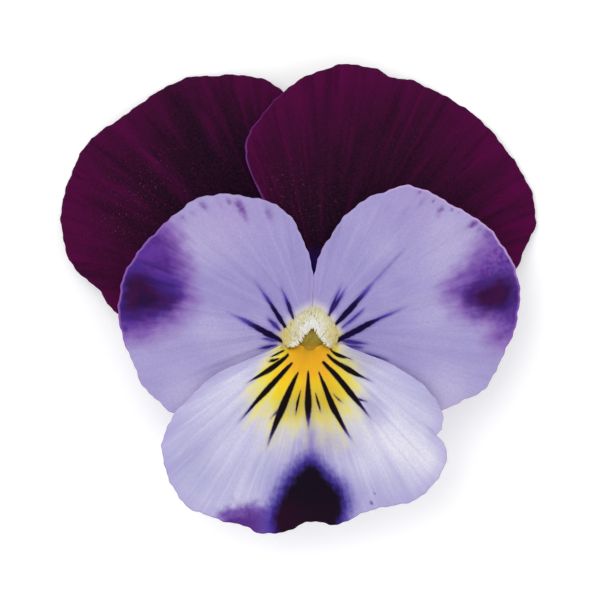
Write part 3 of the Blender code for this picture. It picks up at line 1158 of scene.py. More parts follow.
@dataclass
class Petal:
    """One petal: its rim in plan, its claw, and the rule for its height."""

    node: str
    slot: Slot
    rim: Sequence[Plan]
    claw: Plan
    phase: float
    wave: float
    waves: float
    seed: int
    step: float = RIM_STEP
    rows: int = PETAL_ROWS
    scallops: Sequence[Plan] = ((2.9, 0.034), (1.5, 0.034), (0.8, 0.022))
    folds: Sequence[Plan] = ((5.2, 0.1), (2.9, 0.05), (1.5, 0.022), (0.8, 0.009))

    def foot(self, columns: int) -> Array:
        """Points of the claw's foot, on the ring round the seat.

        Args:
            columns: How many points.

        Returns:
            The points in plan.
        """
        turns = np.radians(np.linspace(*self.claw, columns))
        return np.stack([SEAT_X + CLAW_RADIUS * np.cos(turns), SEAT_Y + CLAW_RADIUS * np.sin(turns)], 1)

    def height(self, x: Array, y: Array, wave: Array) -> Array:
        """The blade's height, which each kind of petal gives."""
        raise NotImplementedError

    def marks(self, x: Array, y: Array) -> dict[str, Array]:
        """Values for the petal's own markings, which each kind of petal gives."""
        raise NotImplementedError

    def clear_of_ends(self, count: int, reach: float) -> Array:
        """For each column of the rim, 0 at both ends of it and 1 from this far on."""
        way = np.arange(count) * self.step
        return ease(np.minimum(way, way[::-1]) / reach)

    def blurred(self, values: Array, reach: float) -> Array:
        """Values along the rim, each averaged with those near it.

        Args:
            values: A value for each column.
            reach: How far to each side, in millimetres.

        Returns:
            The averages.
        """
        count = round(reach / self.step)
        window = np.ones(2 * count + 1) / (2 * count + 1)
        return np.convolve(np.pad(values, count, mode="edge"), window, mode="valid")

    def scalloped(self, rim: Array) -> Array:
        """The rim with its small uneven scallops.

        Args:
            rim: Points of the smooth rim.

        Returns:
            The points moved a little in and out.
        """
        rng = np.random.default_rng(self.seed)
        place_on_rim = np.arange(len(rim)) * self.step
        shift = np.zeros(len(rim))
        for length, size in self.scallops:
            phase = rng.uniform(0, 2 * math.pi)
            drift = 1.2 * np.sin(place_on_rim / (2.7 * length) + rng.uniform(0, 6))
            shift += size * np.sin(2 * math.pi * place_on_rim / length + phase + drift)
        way = np.gradient(rim, axis=0)
        way /= np.linalg.norm(way, axis=1, keepdims=True)
        outward = np.stack([way[:, 1], -way[:, 0]], 1)
        ray = rim - self.foot(len(rim))
        slant = np.abs(way[:, 0] * ray[:, 1] - way[:, 1] * ray[:, 0]) / np.linalg.norm(ray, axis=1)
        fade = self.clear_of_ends(len(rim), SCALLOP_START) * ease(slant / 0.5)
        return rim + outward * (shift * fade)[:, None]

    def filled(self, rim: Array) -> Array:
        """The rim with its notches and bays filled, which the inner blade spreads towards.

        Args:
            rim: Points of the rim.

        Returns:
            The evened points; both ends stay.
        """
        even = np.stack([self.blurred(rim[:, axis], BAY_BLUR) for axis in (0, 1)], 1)
        return rim + (even - rim) * self.clear_of_ends(len(rim), BAY_START)[:, None]

    def ripples(self, along: Array, around: Array) -> Array:
        """Fine folds that fan out from the claw.

        Args:
            along: Share of the way from claw to rim.
            around: Millimetres round the fan.

        Returns:
            Their height.
        """
        rng = np.random.default_rng(self.seed + 50)
        lift = np.zeros(along.shape)
        for length, size in self.folds:
            drift = 1.1 * np.sin(around / (2.1 * length) + rng.uniform(0, 6) + 1.6 * along)
            lift += size * np.sin(2 * math.pi * around / length + rng.uniform(0, 6) + drift)
        return lift * ease(along / 0.45) * (1 - 0.35 * along**6)

    def fan(self, rim: Array) -> Array:
        """How far round the fan each column lies.

        Args:
            rim: Points of the rim.

        Returns:
            Millimetres, measured on a circle of a common size, or at the rim where that is nearer.
        """
        run = rim - self.foot(len(rim)).mean(axis=0)
        turns = np.unwrap(np.arctan2(run[:, 1], run[:, 0]))
        reach = np.minimum(np.linalg.norm(run, axis=1), FAN_RADIUS)
        return np.cumsum(np.diff(turns, prepend=turns[0]) * reach)

    def across(self, rim: Array) -> Array:
        """The share of the way round the rim, evened out where the rim runs in and out.

        Args:
            rim: Points of the rim.

        Returns:
            The share for each column.
        """
        around = self.fan(rim)
        share = np.linspace(0, 1, len(rim))
        even = np.linspace(around[0], around[-1], len(rim))
        share_at = np.interp(even, np.maximum.accumulate(around), share)
        return np.interp(around, even, self.blurred(share_at, WAVE_BLUR))

    def blade(self, start: Array, rim: Array) -> tuple[Array, Array]:
        """Spreads the blade from a line to the rim, with long and short waves that fade away from the rim.

        Args:
            start: Points of the line.
            rim: Points of the rim.

        Returns:
            The surface in rows and columns, and the share of the way from the line to the rim.
        """
        along = (np.arange(self.rows + 1) / self.rows)[:, None] ** ROW_POWER * np.ones(len(rim))
        even = self.filled(rim)
        aim = even + (rim - even) * along[..., None] ** 4
        plan = start + (aim - start) * along[..., None]
        across = self.across(even)[None]
        long_wave = np.sin(2 * math.pi * self.waves * across + self.phase)
        short_wave = 0.45 * np.sin(2 * math.pi * 2.3 * self.waves * across + 2.1 * self.phase)
        wave = self.wave * along**2.6 * (long_wave + short_wave)
        z = self.height(plan[..., 0], plan[..., 1], wave)
        return np.concatenate([plan, z[..., None]], -1), along

    def grid(self, rim: Array) -> tuple[Array, Array]:
        """The middle surface from the claw's foot to the rim, and the share of the way there."""
        return self.blade(self.foot(len(rim)), rim)

    def surface(self) -> tuple[Array, dict[str, Array]]:
        """Works out the middle surface and the values that the finish reads.

        Returns:
            The surface in rows and columns, and the values by name.
        """
        line = smooth_curve(self.rim, 0.1)
        length = float(np.linalg.norm(np.diff(line, axis=0), axis=1).sum())
        rim = self.scalloped(evenly(line, round(length / self.step)))
        middle, along = self.grid(rim)
        x, y = middle[..., 0], middle[..., 1]
        even = self.filled(rim)
        around = np.broadcast_to(self.fan(even), x.shape)
        reach = np.linalg.norm(even - self.foot(len(rim)), axis=1)
        middle[..., 2] += self.ripples(along, around) * ease((reach - FOLD_START) / FOLD_RUN)
        fan = np.stack([around, along * reach, np.zeros_like(x)], -1)
        fields = {"fan": fan, "grown": along, "rim_gap": self.edge_distance(x, y, rim)}
        fields.update(self.marks(x, y))
        return middle, fields

    def edge_distance(self, x: Array, y: Array, rim: Array) -> Array:
        """How far each point is from the rim, up to a limit past which nothing reads it.

        Args:
            x: Plan places, across.
            y: Plan places, up.
            rim: Points of the rim.

        Returns:
            The distances.
        """
        nearest = np.full(x.shape, RIM_GAP_LIMIT)
        reach = round(RIM_GAP_SEARCH / self.step)
        for column, (rim_x, rim_y) in enumerate(rim):
            near = slice(max(0, column - reach), column + reach + 1)
            part = np.hypot(x[:, near] - rim_x, y[:, near] - rim_y)
            nearest[:, near] = np.minimum(nearest[:, near], part)
        return nearest

    def settled(self, middle: Array) -> Array:
        """The surface once it lies where it rests; only the upper petals reach that low."""
        return middle

    def build(self, skin: Material) -> Object:
        """Makes the petal.

        Args:
            skin: Its finish.

        Returns:
            The petal.
        """
        middle, fields = self.surface()
        body = BLADE_THICKNESS - RIM_THICKNESS
        thickness = RIM_THICKNESS + body * ease(fields["rim_gap"] / RIM_BEVEL)
        parts = MeshParts()
        parts.sheet(self.settled(middle), thickness, fields)
        return place(parts.object(self.node + "_fine", skin), self.slot, self.node)


UPPER_LEFT_WARM = ((-6.5, 11.8, 6.5, -0.3), (-16.5, 2.0, 3.0, -0.12), (-9.5, 16.5, 3.0, -0.1))
UPPER_RIGHT_WARM = ((6.5, 14.2, 4.0, -0.1), (-0.7, 9.5, 3.0, 0.06), (5.0, 10.2, 3.0, 0.07))
UPPER_LEFT_SPECKS = ((-14.6, 6.6, 3.2, 0.42), (-12.0, 9.0, 2.6, 0.42), (-8.0, 11.0, 5.0, 0.12))
UPPER_RIGHT_SPECKS = ((-1.6, 9.2, 2.2, 0.42), (0.9, 6.8, 2.4, 0.4), (9.0, 11.0, 6.0, 0.16))
UPPER_LEFT_RAYS = (
    (-11.4, 11.0, 3.6, 0.6, 0.75), (-12.7, 11.9, 3.0, 0.36, 0.5), (-14.6, 8.9, 3.0, 0.5, 0.5),
    (-7.2, 14.0, 2.6, 0.5, 0.45), (-3.0, 15.4, 2.2, 0.4, 0.4), (-16.4, 4.6, 2.4, 0.5, 0.35),
)


@dataclass
class UpperPetal(Petal):
    """One of the two dark petals behind, which lean back to the surface."""

    side: Side = Side.LEFT

    def height(self, x: Array, y: Array, wave: Array) -> Array:
        """The blade's height, falling away from the seat.

        Args:
            x: Plan places, across.
            y: Plan places, up.
            wave: The lift of its waves.

        Returns:
            The height at each place.
        """
        r = seat_distance(x, y)
        if self.side is Side.LEFT:
            level, reach = UPPER_LEFT_LEVEL - UPPER_FALL * r * r, 2.0
        else:
            drop = UPPER_RIGHT_DROP * ease((x - UPPER_DROP_START) / UPPER_DROP_RUN)
            level = UPPER_RIGHT_LEVEL - UPPER_FALL * r * r - drop
            reach = 2.4 + 2.6 * ease((x - 1.0) / 2.5)
        return CLAW_FOOT + (level + wave - CLAW_FOOT) * climb(r - CLAW_RADIUS, reach)

    def settled(self, middle: Array) -> Array:
        """Leans the petal until its lowest point just meets the surface.

        Args:
            middle: The middle surface.

        Returns:
            The leaned surface.
        """
        x, y, z = middle[..., 0], middle[..., 1], middle[..., 2]
        lowest = np.unravel_index(np.argmin(z), z.shape)
        drop = z[lowest] - RIM_THICKNESS
        share = seat_distance(x, y) / seat_distance(x[lowest], y[lowest])
        return np.stack([x, y, np.maximum(z - drop * share**2, RIM_THICKNESS)], -1)

    def marks(self, x: Array, y: Array) -> dict[str, Array]:
        """The blue-violet base between the side petals, warm and dark parts, rays and the lit rim.

        Args:
            x: Plan places, across.
            y: Plan places, up.

        Returns:
            Named values for the mesh.
        """
        left = self.side is Side.LEFT
        lit = np.full(x.shape, 0.08)
        if not left:
            lit = lit + 0.9 * ease((-0.6 - x) / 1.6) * (0.4 + 0.6 * ease((15.0 - y) / 4))
        return {
            "blue": ease((4.4 - y) / 2.1) * ease((3.0 - np.abs(x - 1.3)) / 1.5),
            "warm": spots_field(x, y, UPPER_LEFT_WARM if left else UPPER_RIGHT_WARM),
            "specks": spots_field(x, y, UPPER_LEFT_SPECKS if left else UPPER_RIGHT_SPECKS),
            "ray": dash_field(x, y, UPPER_LEFT_RAYS if left else ()),
            "lit_rim": lit,
        }


LEFT_STREAKS = (
    Streak((-0.42, -1.6), (-1.5, 1.25), 0.32, 0.0, 0.32, 0.15, blunt=0.5, fade=0.3),
    Streak((-0.93, -2.53), (-3.52, 1.58), 0.39, 0.0, 0.24, blunt=0.5, fade=0.38),
    Streak((-1.45, -2.6), (-2.6, -1.45), 0.36, 0.0, 0.45, 0.6, 0.95, fade=0.5),
    Streak((-1.33, -3.46), (-5.9, -1.05), 0.52, -0.009, 0.2, blunt=0.45, fade=0.4),
    Streak((-1.45, -3.45), (-3.15, -3.2), 0.28, 0.0, 0.5, 0.7, 0.85, fade=0.5),
    Streak((-1.8, -3.76), (-3.4, -4.1), 0.26, 0.0, 0.4, 0.45, fade=0.5),
)
RIGHT_STREAKS = (
    Streak((2.42, -1.44), (3.5, 1.25), 0.3, 0.0, 0.36, 0.25, blunt=0.4, fade=0.35),
    Streak((2.5, -1.3), (3.98, 1.02), 0.28, 0.0, 0.36, 0.3, blunt=0.35, fade=0.35),
    Streak((2.9, -2.17), (6.5, 1.9), 0.5, -0.015, 0.27, blunt=0.35, fade=0.41),
    Streak((5.6, 0.85), (8.6, 4.1), 0.2, 0.0, 0.3, 1.0, 0.34),
    Streak((3.5, -2.38), (5.4, -0.75), 0.22, 0.0, 0.4, 0.75, 0.9),
    Streak((3.18, -3.38), (8.9, -0.5), 0.51, 0.009, 0.16, blunt=0.6, fade=0.43),
    Streak((3.45, -3.4), (5.8, -3.74), 0.34, 0.0, 0.4, 0.55, 0.95, fade=0.5),
    Streak((3.9, -3.76), (5.4, -4.02), 0.2, 0.0, 0.4, 0.8, 0.8, fade=0.5),
    Streak((5.4, -4.4), (7.3, -5.0), 0.12, 0.0, 0.4, 0.6),
)
LOWER_STREAKS = (
    Streak((-1.34, -4.22), (-2.32, -4.74), 0.29, 0.03, 0.5, blunt=0.6),
    Streak((-1.62, -4.86), (-2.48, -5.12), 0.25, 0.0, 0.5, blunt=0.6),
    Streak((-0.95, -4.62), (-4.45, -6.95), 0.39, 0.042, 0.38, blunt=0.5),
    Streak((-0.64, -5.26), (-4.95, -10.0), 0.58, 0.0, 0.42, blunt=0.3),
    Streak((-0.14, -6.02), (-2.66, -12.3), 0.53, -0.01, 0.45),
    Streak((-1.4, -8.7), (-2.3, -9.75), 0.15, 0.0, 0.4, 0.5),
    Streak((0.18, -7.4), (-0.22, -9.5), 0.28, -0.02, 0.5),
    Streak((0.76, -6.0), (0.78, -10.6), 0.57, 0.0, 0.57),
    Streak((1.36, -7.6), (1.82, -9.2), 0.25, 0.0, 0.5),
    Streak((1.72, -6.04), (4.5, -11.65), 0.57, -0.035, 0.44),
    Streak((2.8, -7.6), (3.55, -8.4), 0.11, 0.0, 0.6, 0.2),
    Streak((2.11, -5.2), (5.95, -9.9), 0.57, 0.013, 0.5, blunt=0.4),
    Streak((4.55, -7.98), (5.6, -8.25), 0.22, 0.0, 0.3, 0.5),
    Streak((2.42, -4.62), (6.0, -6.7), 0.46, -0.04, 0.44, blunt=0.3),
    Streak((2.5, -4.16), (4.45, -4.92), 0.3, -0.06, 0.42, blunt=0.4),
)
LEFT_BLOTCH = (
    (-10.1, 5.7), (-9.4, 4.5), (-8.9, 2.9), (-8.5, 0.8), (-8.7, -0.7), (-10.1, -2.1), (-12.1, -3.1),
    (-13.9, -3.3), (-15.8, -3.1), (-15.8, 2.0), (-13.2, 5.5), (-11.2, 6.2),
)
LEFT_CORE = (
    (-13.9, 1.3), (-12.9, 1.9), (-11.9, 1.5), (-10.9, 0.3), (-10.0, -0.4), (-11.0, -0.8), (-12.4, -1.2),
    (-13.9, -0.9),
)
RIGHT_BLOTCH = (
    (15.4, 5.6), (14.6, 4.1), (13.5, 2.6), (12.4, 1.5), (11.7, 0.6), (11.8, 0.1), (12.6, -0.5),
    (12.7, -1.1), (14.0, -1.7), (15.4, -2.0), (15.7, -2.5), (15.5, -3.4), (16.6, -3.7), (18.6, -2.4),
    (19.0, 2.0), (17.2, 5.4),
)
RIGHT_CORE = (
    (13.7, 0.15), (14.6, 1.0), (16.0, 1.45), (17.1, 1.0), (17.0, -0.3), (16.4, -0.8), (15.2, -0.75),
    (14.1, -0.5),
)
LEFT_DASHES = (
    (-7.6, 7.35, 0.55, 0.28, 0.75), (-5.55, 7.7, 0.42, 0.24, 0.65), (-4.6, 7.2, 0.85, 0.4, 0.95),
    (-4.35, 6.6, 0.7, 0.32, 0.6), (-2.45, 6.75, 0.75, 0.36, 0.45), (-9.2, 6.4, 0.5, 0.26, 0.4),
    (-8.4, 6.8, 0.4, 0.24, 0.35), (-6.3, 7.5, 0.6, 0.3, 0.25),
)
RIGHT_DASHES = (
    (9.72, 8.5, 0.3, 0.16, 0.65), (9.8, 7.6, 0.7, 0.36, 0.3), (10.75, 7.75, 0.26, 0.15, 0.6),
    (11.3, 7.05, 0.44, 0.28, 0.75), (11.15, 6.6, 0.3, 0.3, 0.4), (12.25, 7.05, 0.2, 0.18, 0.7),
    (12.8, 6.85, 0.26, 0.16, 0.4), (14.0, 5.95, 0.62, 0.26, 0.95), (14.5, 5.5, 0.5, 0.3, 0.5),
    (15.1, 5.1, 0.45, 0.45, 0.8), (8.5, 7.0, 0.8, 0.4, 0.25), (7.2, 7.2, 0.7, 0.3, 0.2),
    (16.1, -3.2, 0.5, 0.26, 0.6),
)
LEFT_PINK = ((-9.8, 5.4, 1.5, 0.6), (-11.2, -3.0, 1.6, 0.45), (-8.4, -0.6, 1.0, 0.35), (-5.4, 6.9, 2.4, 0.7))
RIGHT_PINK = (
    (15.4, 4.0, 2.2, 1.0), (15.9, -2.6, 1.6, 0.85), (12.4, 0.1, 1.0, 0.6), (17.4, 1.4, 1.0, 0.3),
    (9.6, 7.8, 2.6, 0.5),
)
LOWER_BLOTCH = (
    (0.9, -13.1), (1.35, -13.38), (1.75, -13.76), (2.1, -14.16), (2.42, -14.56), (2.86, -14.96),
    (3.26, -15.4), (3.44, -15.9), (3.5, -16.6), (3.42, -17.3), (3.2, -17.9), (3.15, -19.6), (-1.6, -19.8),
    (-1.8, -18.5), (-1.95, -17.6), (-1.5, -16.3), (-0.95, -15.2), (-0.45, -14.4), (0.22, -13.6),
)
LOWER_PATCH = (
    (-6.3, -17.0), (-5.4, -16.6), (-4.2, -16.5), (-3.1, -16.5), (-2.0, -17.0), (-1.6, -19.4), (-6.3, -19.4),
)
LOWER_SPECKS = (
    (5.8, -16.35, 0.22, 0.12, 0.9), (6.1, -15.55, 0.16, 0.1, 0.6), (3.95, -17.35, 0.2, 0.12, 0.6),
    (7.2, -16.3, 0.14, 0.1, 0.5),
)
LOWER_HAZE = ((0.92, -11.7, 2.2, 0.42, 0.85), (0.9, -12.6, 1.3, 0.9, 0.65))
LOWER_DUSK = (
    (0.2, -8.4, 1.3, 0.75), (2.2, -8.2, 1.5, 0.7), (-1.2, -8.7, 1.1, 0.4), (2.5, -11.3, 1.4, 0.45),
    (3.0, -6.8, 1.2, 0.2),
)
# Painted shade on the lower petal near its upper right edge: middle, reach and strength of each spot
LOWER_PAINTED_SHADE = ((4.0, -4.9, 1.3, 0.6), (5.6, -5.2, 1.0, 0.3))
LOWER_TONES = (
    (7.2, -11.2, 3.8, 0.5), (-4.8, -11.5, 3.4, 0.14), (-7.5, -7.8, 2.2, 0.12), (-4.9, -6.4, 1.4, 0.25),
    (-8.9, -11.0, 2.6, -0.16), (0.6, -12.0, 1.5, -0.5), (-2.6, -14.2, 2.0, -0.3), (-7.9, -14.6, 2.3, -0.32),
    (4.6, -15.6, 1.9, -0.45), (8.0, -15.6, 2.6, -0.25), (9.5, -8.0, 2.4, -0.15), (4.1, -12.2, 1.3, -0.3),
    (5.9, -8.9, 1.3, -0.42), (10.4, -13.0, 2.0, 0.2),
)
# Painted light and shade on the side petals: middle, reach and strength of each soft spot, darker where below
# zero
LEFT_PAINTED_LIGHT_AND_SHADE = (
    (-9.6, 4.9, 1.8, 0.55), (-7.6, 3.6, 2.6, 0.4), (-7.2, -2.6, 1.9, 0.5), (-11.0, -4.2, 2.6, 0.25),
    (-8.6, -8.2, 2.6, 0.85), (-5.7, 6.6, 2.0, 0.25), (-6.6, 0.4, 1.6, -0.3), (-3.6, 4.2, 2.0, 0.2),
    (-4.4, -4.6, 1.9, 0.55), (-2.4, -3.9, 1.2, 0.3),
)
RIGHT_PAINTED_LIGHT_AND_SHADE = (
    (12.4, 4.6, 2.6, 0.7), (10.6, 2.0, 2.4, 0.3), (10.6, -1.7, 1.7, 0.45), (13.4, -2.6, 1.8, 0.2),
    (11.5, -7.8, 2.8, 0.95), (9.4, 7.2, 1.6, 0.2), (5.9, 4.4, 2.4, 0.35), (6.8, 0.4, 1.6, -0.3),
    (8.2, -3.4, 1.8, 0.2),
)
LEFT_BEARD = ((1.3, -0.72), (0.6, -1.08), (-0.3, -1.65), (-0.95, -2.4), (-1.25, -3.15), (-1.15, -3.7))
LEFT_FRINGE = ((1.2, -2.3), (0.78, -2.7), (0.38, -3.2), (0.04, -3.66), (-0.5, -3.96))
LEFT_LIP = ((1.1, -1.05), (0.55, -1.5), (0.05, -2.1), (-0.45, -2.8), (-0.75, -3.4), (-0.8, -3.75))
RIGHT_BEARD = ((1.1, -0.72), (1.85, -1.05), (2.4, -1.55), (2.9, -2.3), (3.12, -3.15), (2.95, -3.7))
RIGHT_FRINGE = ((1.0, -2.3), (1.4, -2.7), (1.72, -3.2), (2.02, -3.62), (2.45, -3.94))
RIGHT_LIP = ((2.75, -3.75), (2.7, -3.4), (2.4, -2.8), (1.95, -2.1), (1.6, -1.5), (1.2, -1.05))


@dataclass
class SidePetal(Petal):
    """A side petal, with its streaks, its blotch and its dashes."""

    streaks: Sequence[Streak] = ()
    blotch: Sequence[Plan] = ()
    core: Sequence[Plan] = ()
    dashes: Sequence[Dash] = ()
    beard: Sequence[Plan] = ()
    lip: Sequence[Plan] = ()
    # Spots of painted light and shade on the blade
    lights: Sequence[Spot] = ()
    pink: Sequence[Spot] = ()
    tuck: float = 0.045
    gleam: float = 0.0
    glow_reach: float = 1.1
    meeting: Plan = (1.1, 0.7)
    meeting_reach: Plan = (1.1, 2.4)

    def height(self, x: Array, y: Array, wave: Array) -> Array:
        """The blade's height; where the two side petals meet, one is tucked over the other.

        Args:
            x: Plan places, across.
            y: Plan places, up.
            wave: The lift of its waves.

        Returns:
            The height at each place.
        """
        out_x = (x - self.meeting[0]) / self.meeting_reach[0]
        out_y = (y - self.meeting[1]) / self.meeting_reach[1]
        meeting = np.exp(-(out_x**4 + out_y**4))
        return side_level(x, y) + wave * (1 - meeting) + self.tuck * meeting

    def grid(self, rim: Array) -> tuple[Array, Array]:
        """Spreads the blade outwards from its lip over the throat, and curls the claw down to its foot.

        Args:
            rim: Points of the rim.

        Returns:
            The surface in rows and columns, and the share of the way from claw to rim.
        """
        count = len(rim)
        lip = evenly(smooth_curve(self.lip, 0.05), count)
        run = rim - lip
        length = np.linalg.norm(run, axis=1, keepdims=True)
        blade, share = self.blade(lip + run * np.minimum(0.5, 0.35 / length), rim)
        foot = self.foot(count)
        level = side_level(lip[:, 0], lip[:, 1])
        heights = (CLAW_FOOT + 0 * level, CLAW_WAIST + 0 * level, level - CLAW_SHOULDER, level - CLAW_LIP)
        bends = [
            np.column_stack([foot + (lip - foot) * inward, height])
            for inward, height in zip(CLAW_INWARD, heights)
        ]
        bends.append(blade[0])
        knots = [2 * bends[0] - bends[1], *bends, blade[0] * 2 - bends[-2]]
        knots[-1][:, 2] = blade[0][:, 2]
        rows: list[Array] = []
        for four in zip(knots, knots[1:], knots[2:], knots[3:]):
            rows.extend(between(four, t) for t in np.arange(CLAW_ROWS) / CLAW_ROWS)
        return np.concatenate([np.array(rows), blade]), np.concatenate([np.zeros((len(rows), count)), share])

    def marks(self, x: Array, y: Array) -> dict[str, Array]:
        """Distances into the markings.

        Args:
            x: Plan places, across.
            y: Plan places, up.

        Returns:
            Named values for the mesh.
        """
        from_beard = np.full(x.shape, FAR)
        for beard_x, beard_y in smooth_curve(self.beard, 0.15):
            from_beard = np.minimum(from_beard, np.hypot(x - beard_x, y - beard_y))
        return {
            **streak_fields(x, y, self.streaks),
            "blotch": depth_in(x, y, self.blotch),
            "blotch_core": depth_in(x, y, self.core),
            "dash": dash_field(x, y, self.dashes),
            "glow": 1 - from_beard / self.glow_reach,
            "low": ease((-1.6 - y) / 1.6),
            # Painted light and shade, kept under the name light
            "light": spots_field(x, y, self.lights),
            "pink": spots_field(x, y, self.pink),
            "lit_rim": self.gleam * ease((y - 1.0) / 2.5) * ease((x - 5.0) / 3.0),
        }


@dataclass
class LowerPetal(Petal):
    """The lower petal, which lies over the side petals and sinks into the throat."""

    foot_y: float = -3.6
    foot_half: float = 1.75
    edge_level: float = 8.3
    gold_length: float = 8.1
    gold_narrowing: float = 4.9
    whiteness: float = 0.32

    def edge_line(self, x: Array) -> Array:
        """How far up the petal's upper edge lies, under the head of the pistil."""
        return self.foot_y - 0.08 * np.minimum((x - SEAT_X) ** 2, self.foot_half**2)

    def foot(self, columns: int) -> Array:
        """The top edge of the throat's floor.

        Args:
            columns: How many points.

        Returns:
            The points in plan.
        """
        x = np.linspace(SEAT_X - self.foot_half, SEAT_X + self.foot_half, columns)
        return np.stack([x, self.edge_line(x)], 1)

    def plain_height(self, x: Array, y: Array) -> Array:
        """The blade's height without its waves.

        Args:
            x: Plan places, across.
            y: Plan places, up.

        Returns:
            The height at each place.
        """
        width = np.exp(-(((x - SEAT_X) / THROAT_HALF_WIDTH) ** 2))
        length = np.exp(-((np.maximum(0.0, -3.8 - y) / THROAT_LENGTH) ** 2))
        return side_level(x, y) + LOWER_OVER_SIDE - THROAT_DEPTH * width * length

    def height(self, x: Array, y: Array, wave: Array) -> Array:
        """The blade's height with its waves; its edge over the throat is rolled down.

        Args:
            x: Plan places, across.
            y: Plan places, up.
            wave: The lift of its waves.

        Returns:
            The height at each place.
        """
        plain = self.plain_height(x, y)
        rolled = np.exp(-(((self.edge_line(x) - y) / 0.5) ** 2)) * ease((2.3 - np.abs(x - SEAT_X)) / 0.7)
        return plain + wave - np.maximum(0.0, plain - self.edge_level) * rolled

    def gold_share(self, x: Array, y: Array) -> Array:
        """How far out in the golden throat each place lies; its rim is drawn in on the right.

        Args:
            x: Plan places, across.
            y: Plan places, up.

        Returns:
            0 at the throat's middle, 1 at the end of the gold.
        """
        distance = np.hypot(x - SEAT_X, y - self.foot_y)
        turn = np.degrees(np.abs(np.arctan2(x - SEAT_X, self.foot_y - y)))
        drawn_in = 0.2 * ease((turn - 28) / 16) - 0.1 * ease((turn - 52) / 12)
        drawn_in = 1 + drawn_in * ease((x - SEAT_X) / 0.8)
        return distance * drawn_in / (self.gold_length - self.gold_narrowing * ease((turn - 33) / 54))

    def marks(self, x: Array, y: Array) -> dict[str, Array]:
        """Distances into the markings.

        Args:
            x: Plan places, across.
            y: Plan places, up.

        Returns:
            Named values for the mesh.
        """
        return {
            **streak_fields(x, y, LOWER_STREAKS),
            "blotch": depth_in(x, y, LOWER_BLOTCH),
            "patch": depth_in(x, y, LOWER_PATCH),
            "dash": dash_field(x, y, LOWER_SPECKS),
            "haze": dash_field(x, y, LOWER_HAZE),
            "dusk": spots_field(x, y, LOWER_DUSK),
            # Painted shade beside the throat
            "painted_shade": spots_field(x, y, LOWER_PAINTED_SHADE),
            "wine": (0.35 + 0.65 * ease((1.4 - x) / 3.0)) * ease((-15.2 - y) / 2.4),
            "gold": self.gold_share(x, y),
            "white": spots_field(x, y, LOWER_TONES, self.whiteness),
        }


@dataclass
class Beard:
    """A tuft of fine hairs on a side petal, leaning in over the throat, with a row of teeth at its edge."""

    side: Side
    petal: Object
    outer: Sequence[Plan]
    inner: Sequence[Plan]
    seed: int
    hairs: int = 600
    teeth: int = 30
    places: int = 200
    radius: float = 0.05
    club: Sequence[float] = (0.7, 0.8, 0.85, 0.92, 1.08, 1.3, 0.85)
    sides: int = 7
    lowest_tip: float = 9.02
    hair_roots: Plan = (-0.1, 0.6)
    hair_lengths: Plan = (0.2, 0.4)
    hair_limit: float = 0.88
    tooth_roots: Plan = (0.35, 0.5)
    tooth_tips: Plan = (0.96, 1.08)
    lean: tuple[int, int] = (-4, 16)

    def root(self, tree: BVHTree, spot: Array) -> Array:
        """Finds the petal's surface at a place in plan.

        Args:
            tree: The petal's faces.
            spot: The place in plan.

        Returns:
            The place on the surface, or at the petals' level where this petal isn't.
        """
        hit = tree.ray_cast(Vector((spot[0] * MM, spot[1] * MM, 0.02)), Vector((0, 0, -1)))[0]
        level = float(side_level(spot[0], spot[1]))
        height = level if hit is None else hit[2] / MM
        return np.array([spot[0], spot[1], max(height, level - 0.45)])

    def hair(self, base: Array, tip: Array, rise: float) -> Array:
        """The middle line of one hair.

        Args:
            base: Where it grows.
            tip: Where it ends.
            rise: How far it arches over.

        Returns:
            Points of the line.
        """
        share = np.linspace(0.0, 1.0, len(self.club))[:, None]
        line = base + (tip - base) * share
        line[:, 2] += (4 * share * (1 - share))[:, 0] * rise
        line[0, 2] -= 0.1
        return line

    def build(self, material: Material) -> Object:
        """Makes the tuft.

        Args:
            material: Its finish.

        Returns:
            The tuft.
        """
        rng = np.random.default_rng(self.seed)
        tree = BVHTree.FromObject(self.petal, bpy.context.evaluated_depsgraph_get())
        outer = evenly(smooth_curve(self.outer, 0.05), self.places)
        inner = evenly(smooth_curve(self.inner, 0.05), self.places)
        last = self.places - 1
        parts = MeshParts()
        for number in range(self.hairs + self.teeth):
            tooth = number >= self.hairs
            if tooth:
                turn = (number - self.hairs + 0.5) / self.teeth
                into, reach = rng.uniform(*self.tooth_roots), rng.uniform(*self.tooth_tips)
            else:
                turn = (number + rng.uniform(0, 1)) / self.hairs
                into = rng.uniform(*self.hair_roots)
                reach = min(into + rng.uniform(*self.hair_lengths), self.hair_limit)
            pick = min(last, int(turn * self.places))
            ahead = int(np.clip(pick + rng.integers(*self.lean), 0, last))
            spot = outer[pick] + (inner[pick] - outer[pick]) * into
            end = outer[ahead] + (inner[ahead] - outer[ahead]) * reach
            end = end + rng.normal(0, 0.02 if tooth else 0.08, 2)
            base = self.root(tree, spot)
            height = max(base[2], self.lowest_tip) + rng.uniform(-0.08, 0.1)
            rise = 0.08 + 0.24 * rng.uniform(0, 1) * (into + 0.2)
            line = self.hair(base, np.array([end[0], end[1], height]), rise)
            whiteness = (into + reach) / 2 + rng.normal(0, 0.07)
            whiteness = whiteness + 0.5 * float(ease((spot[1] + 3.4) / 2.2)) - 0.05
            size = self.radius * (1.1 if tooth else rng.uniform(0.9, 1.2))
            parts.tube(line, np.array(self.club) * size, self.sides, 1.0 if tooth else whiteness)
        made = parts.object("beard_" + self.side.value, material)
        return place(made, Slot.LILAC, "petal_side_" + self.side.value)


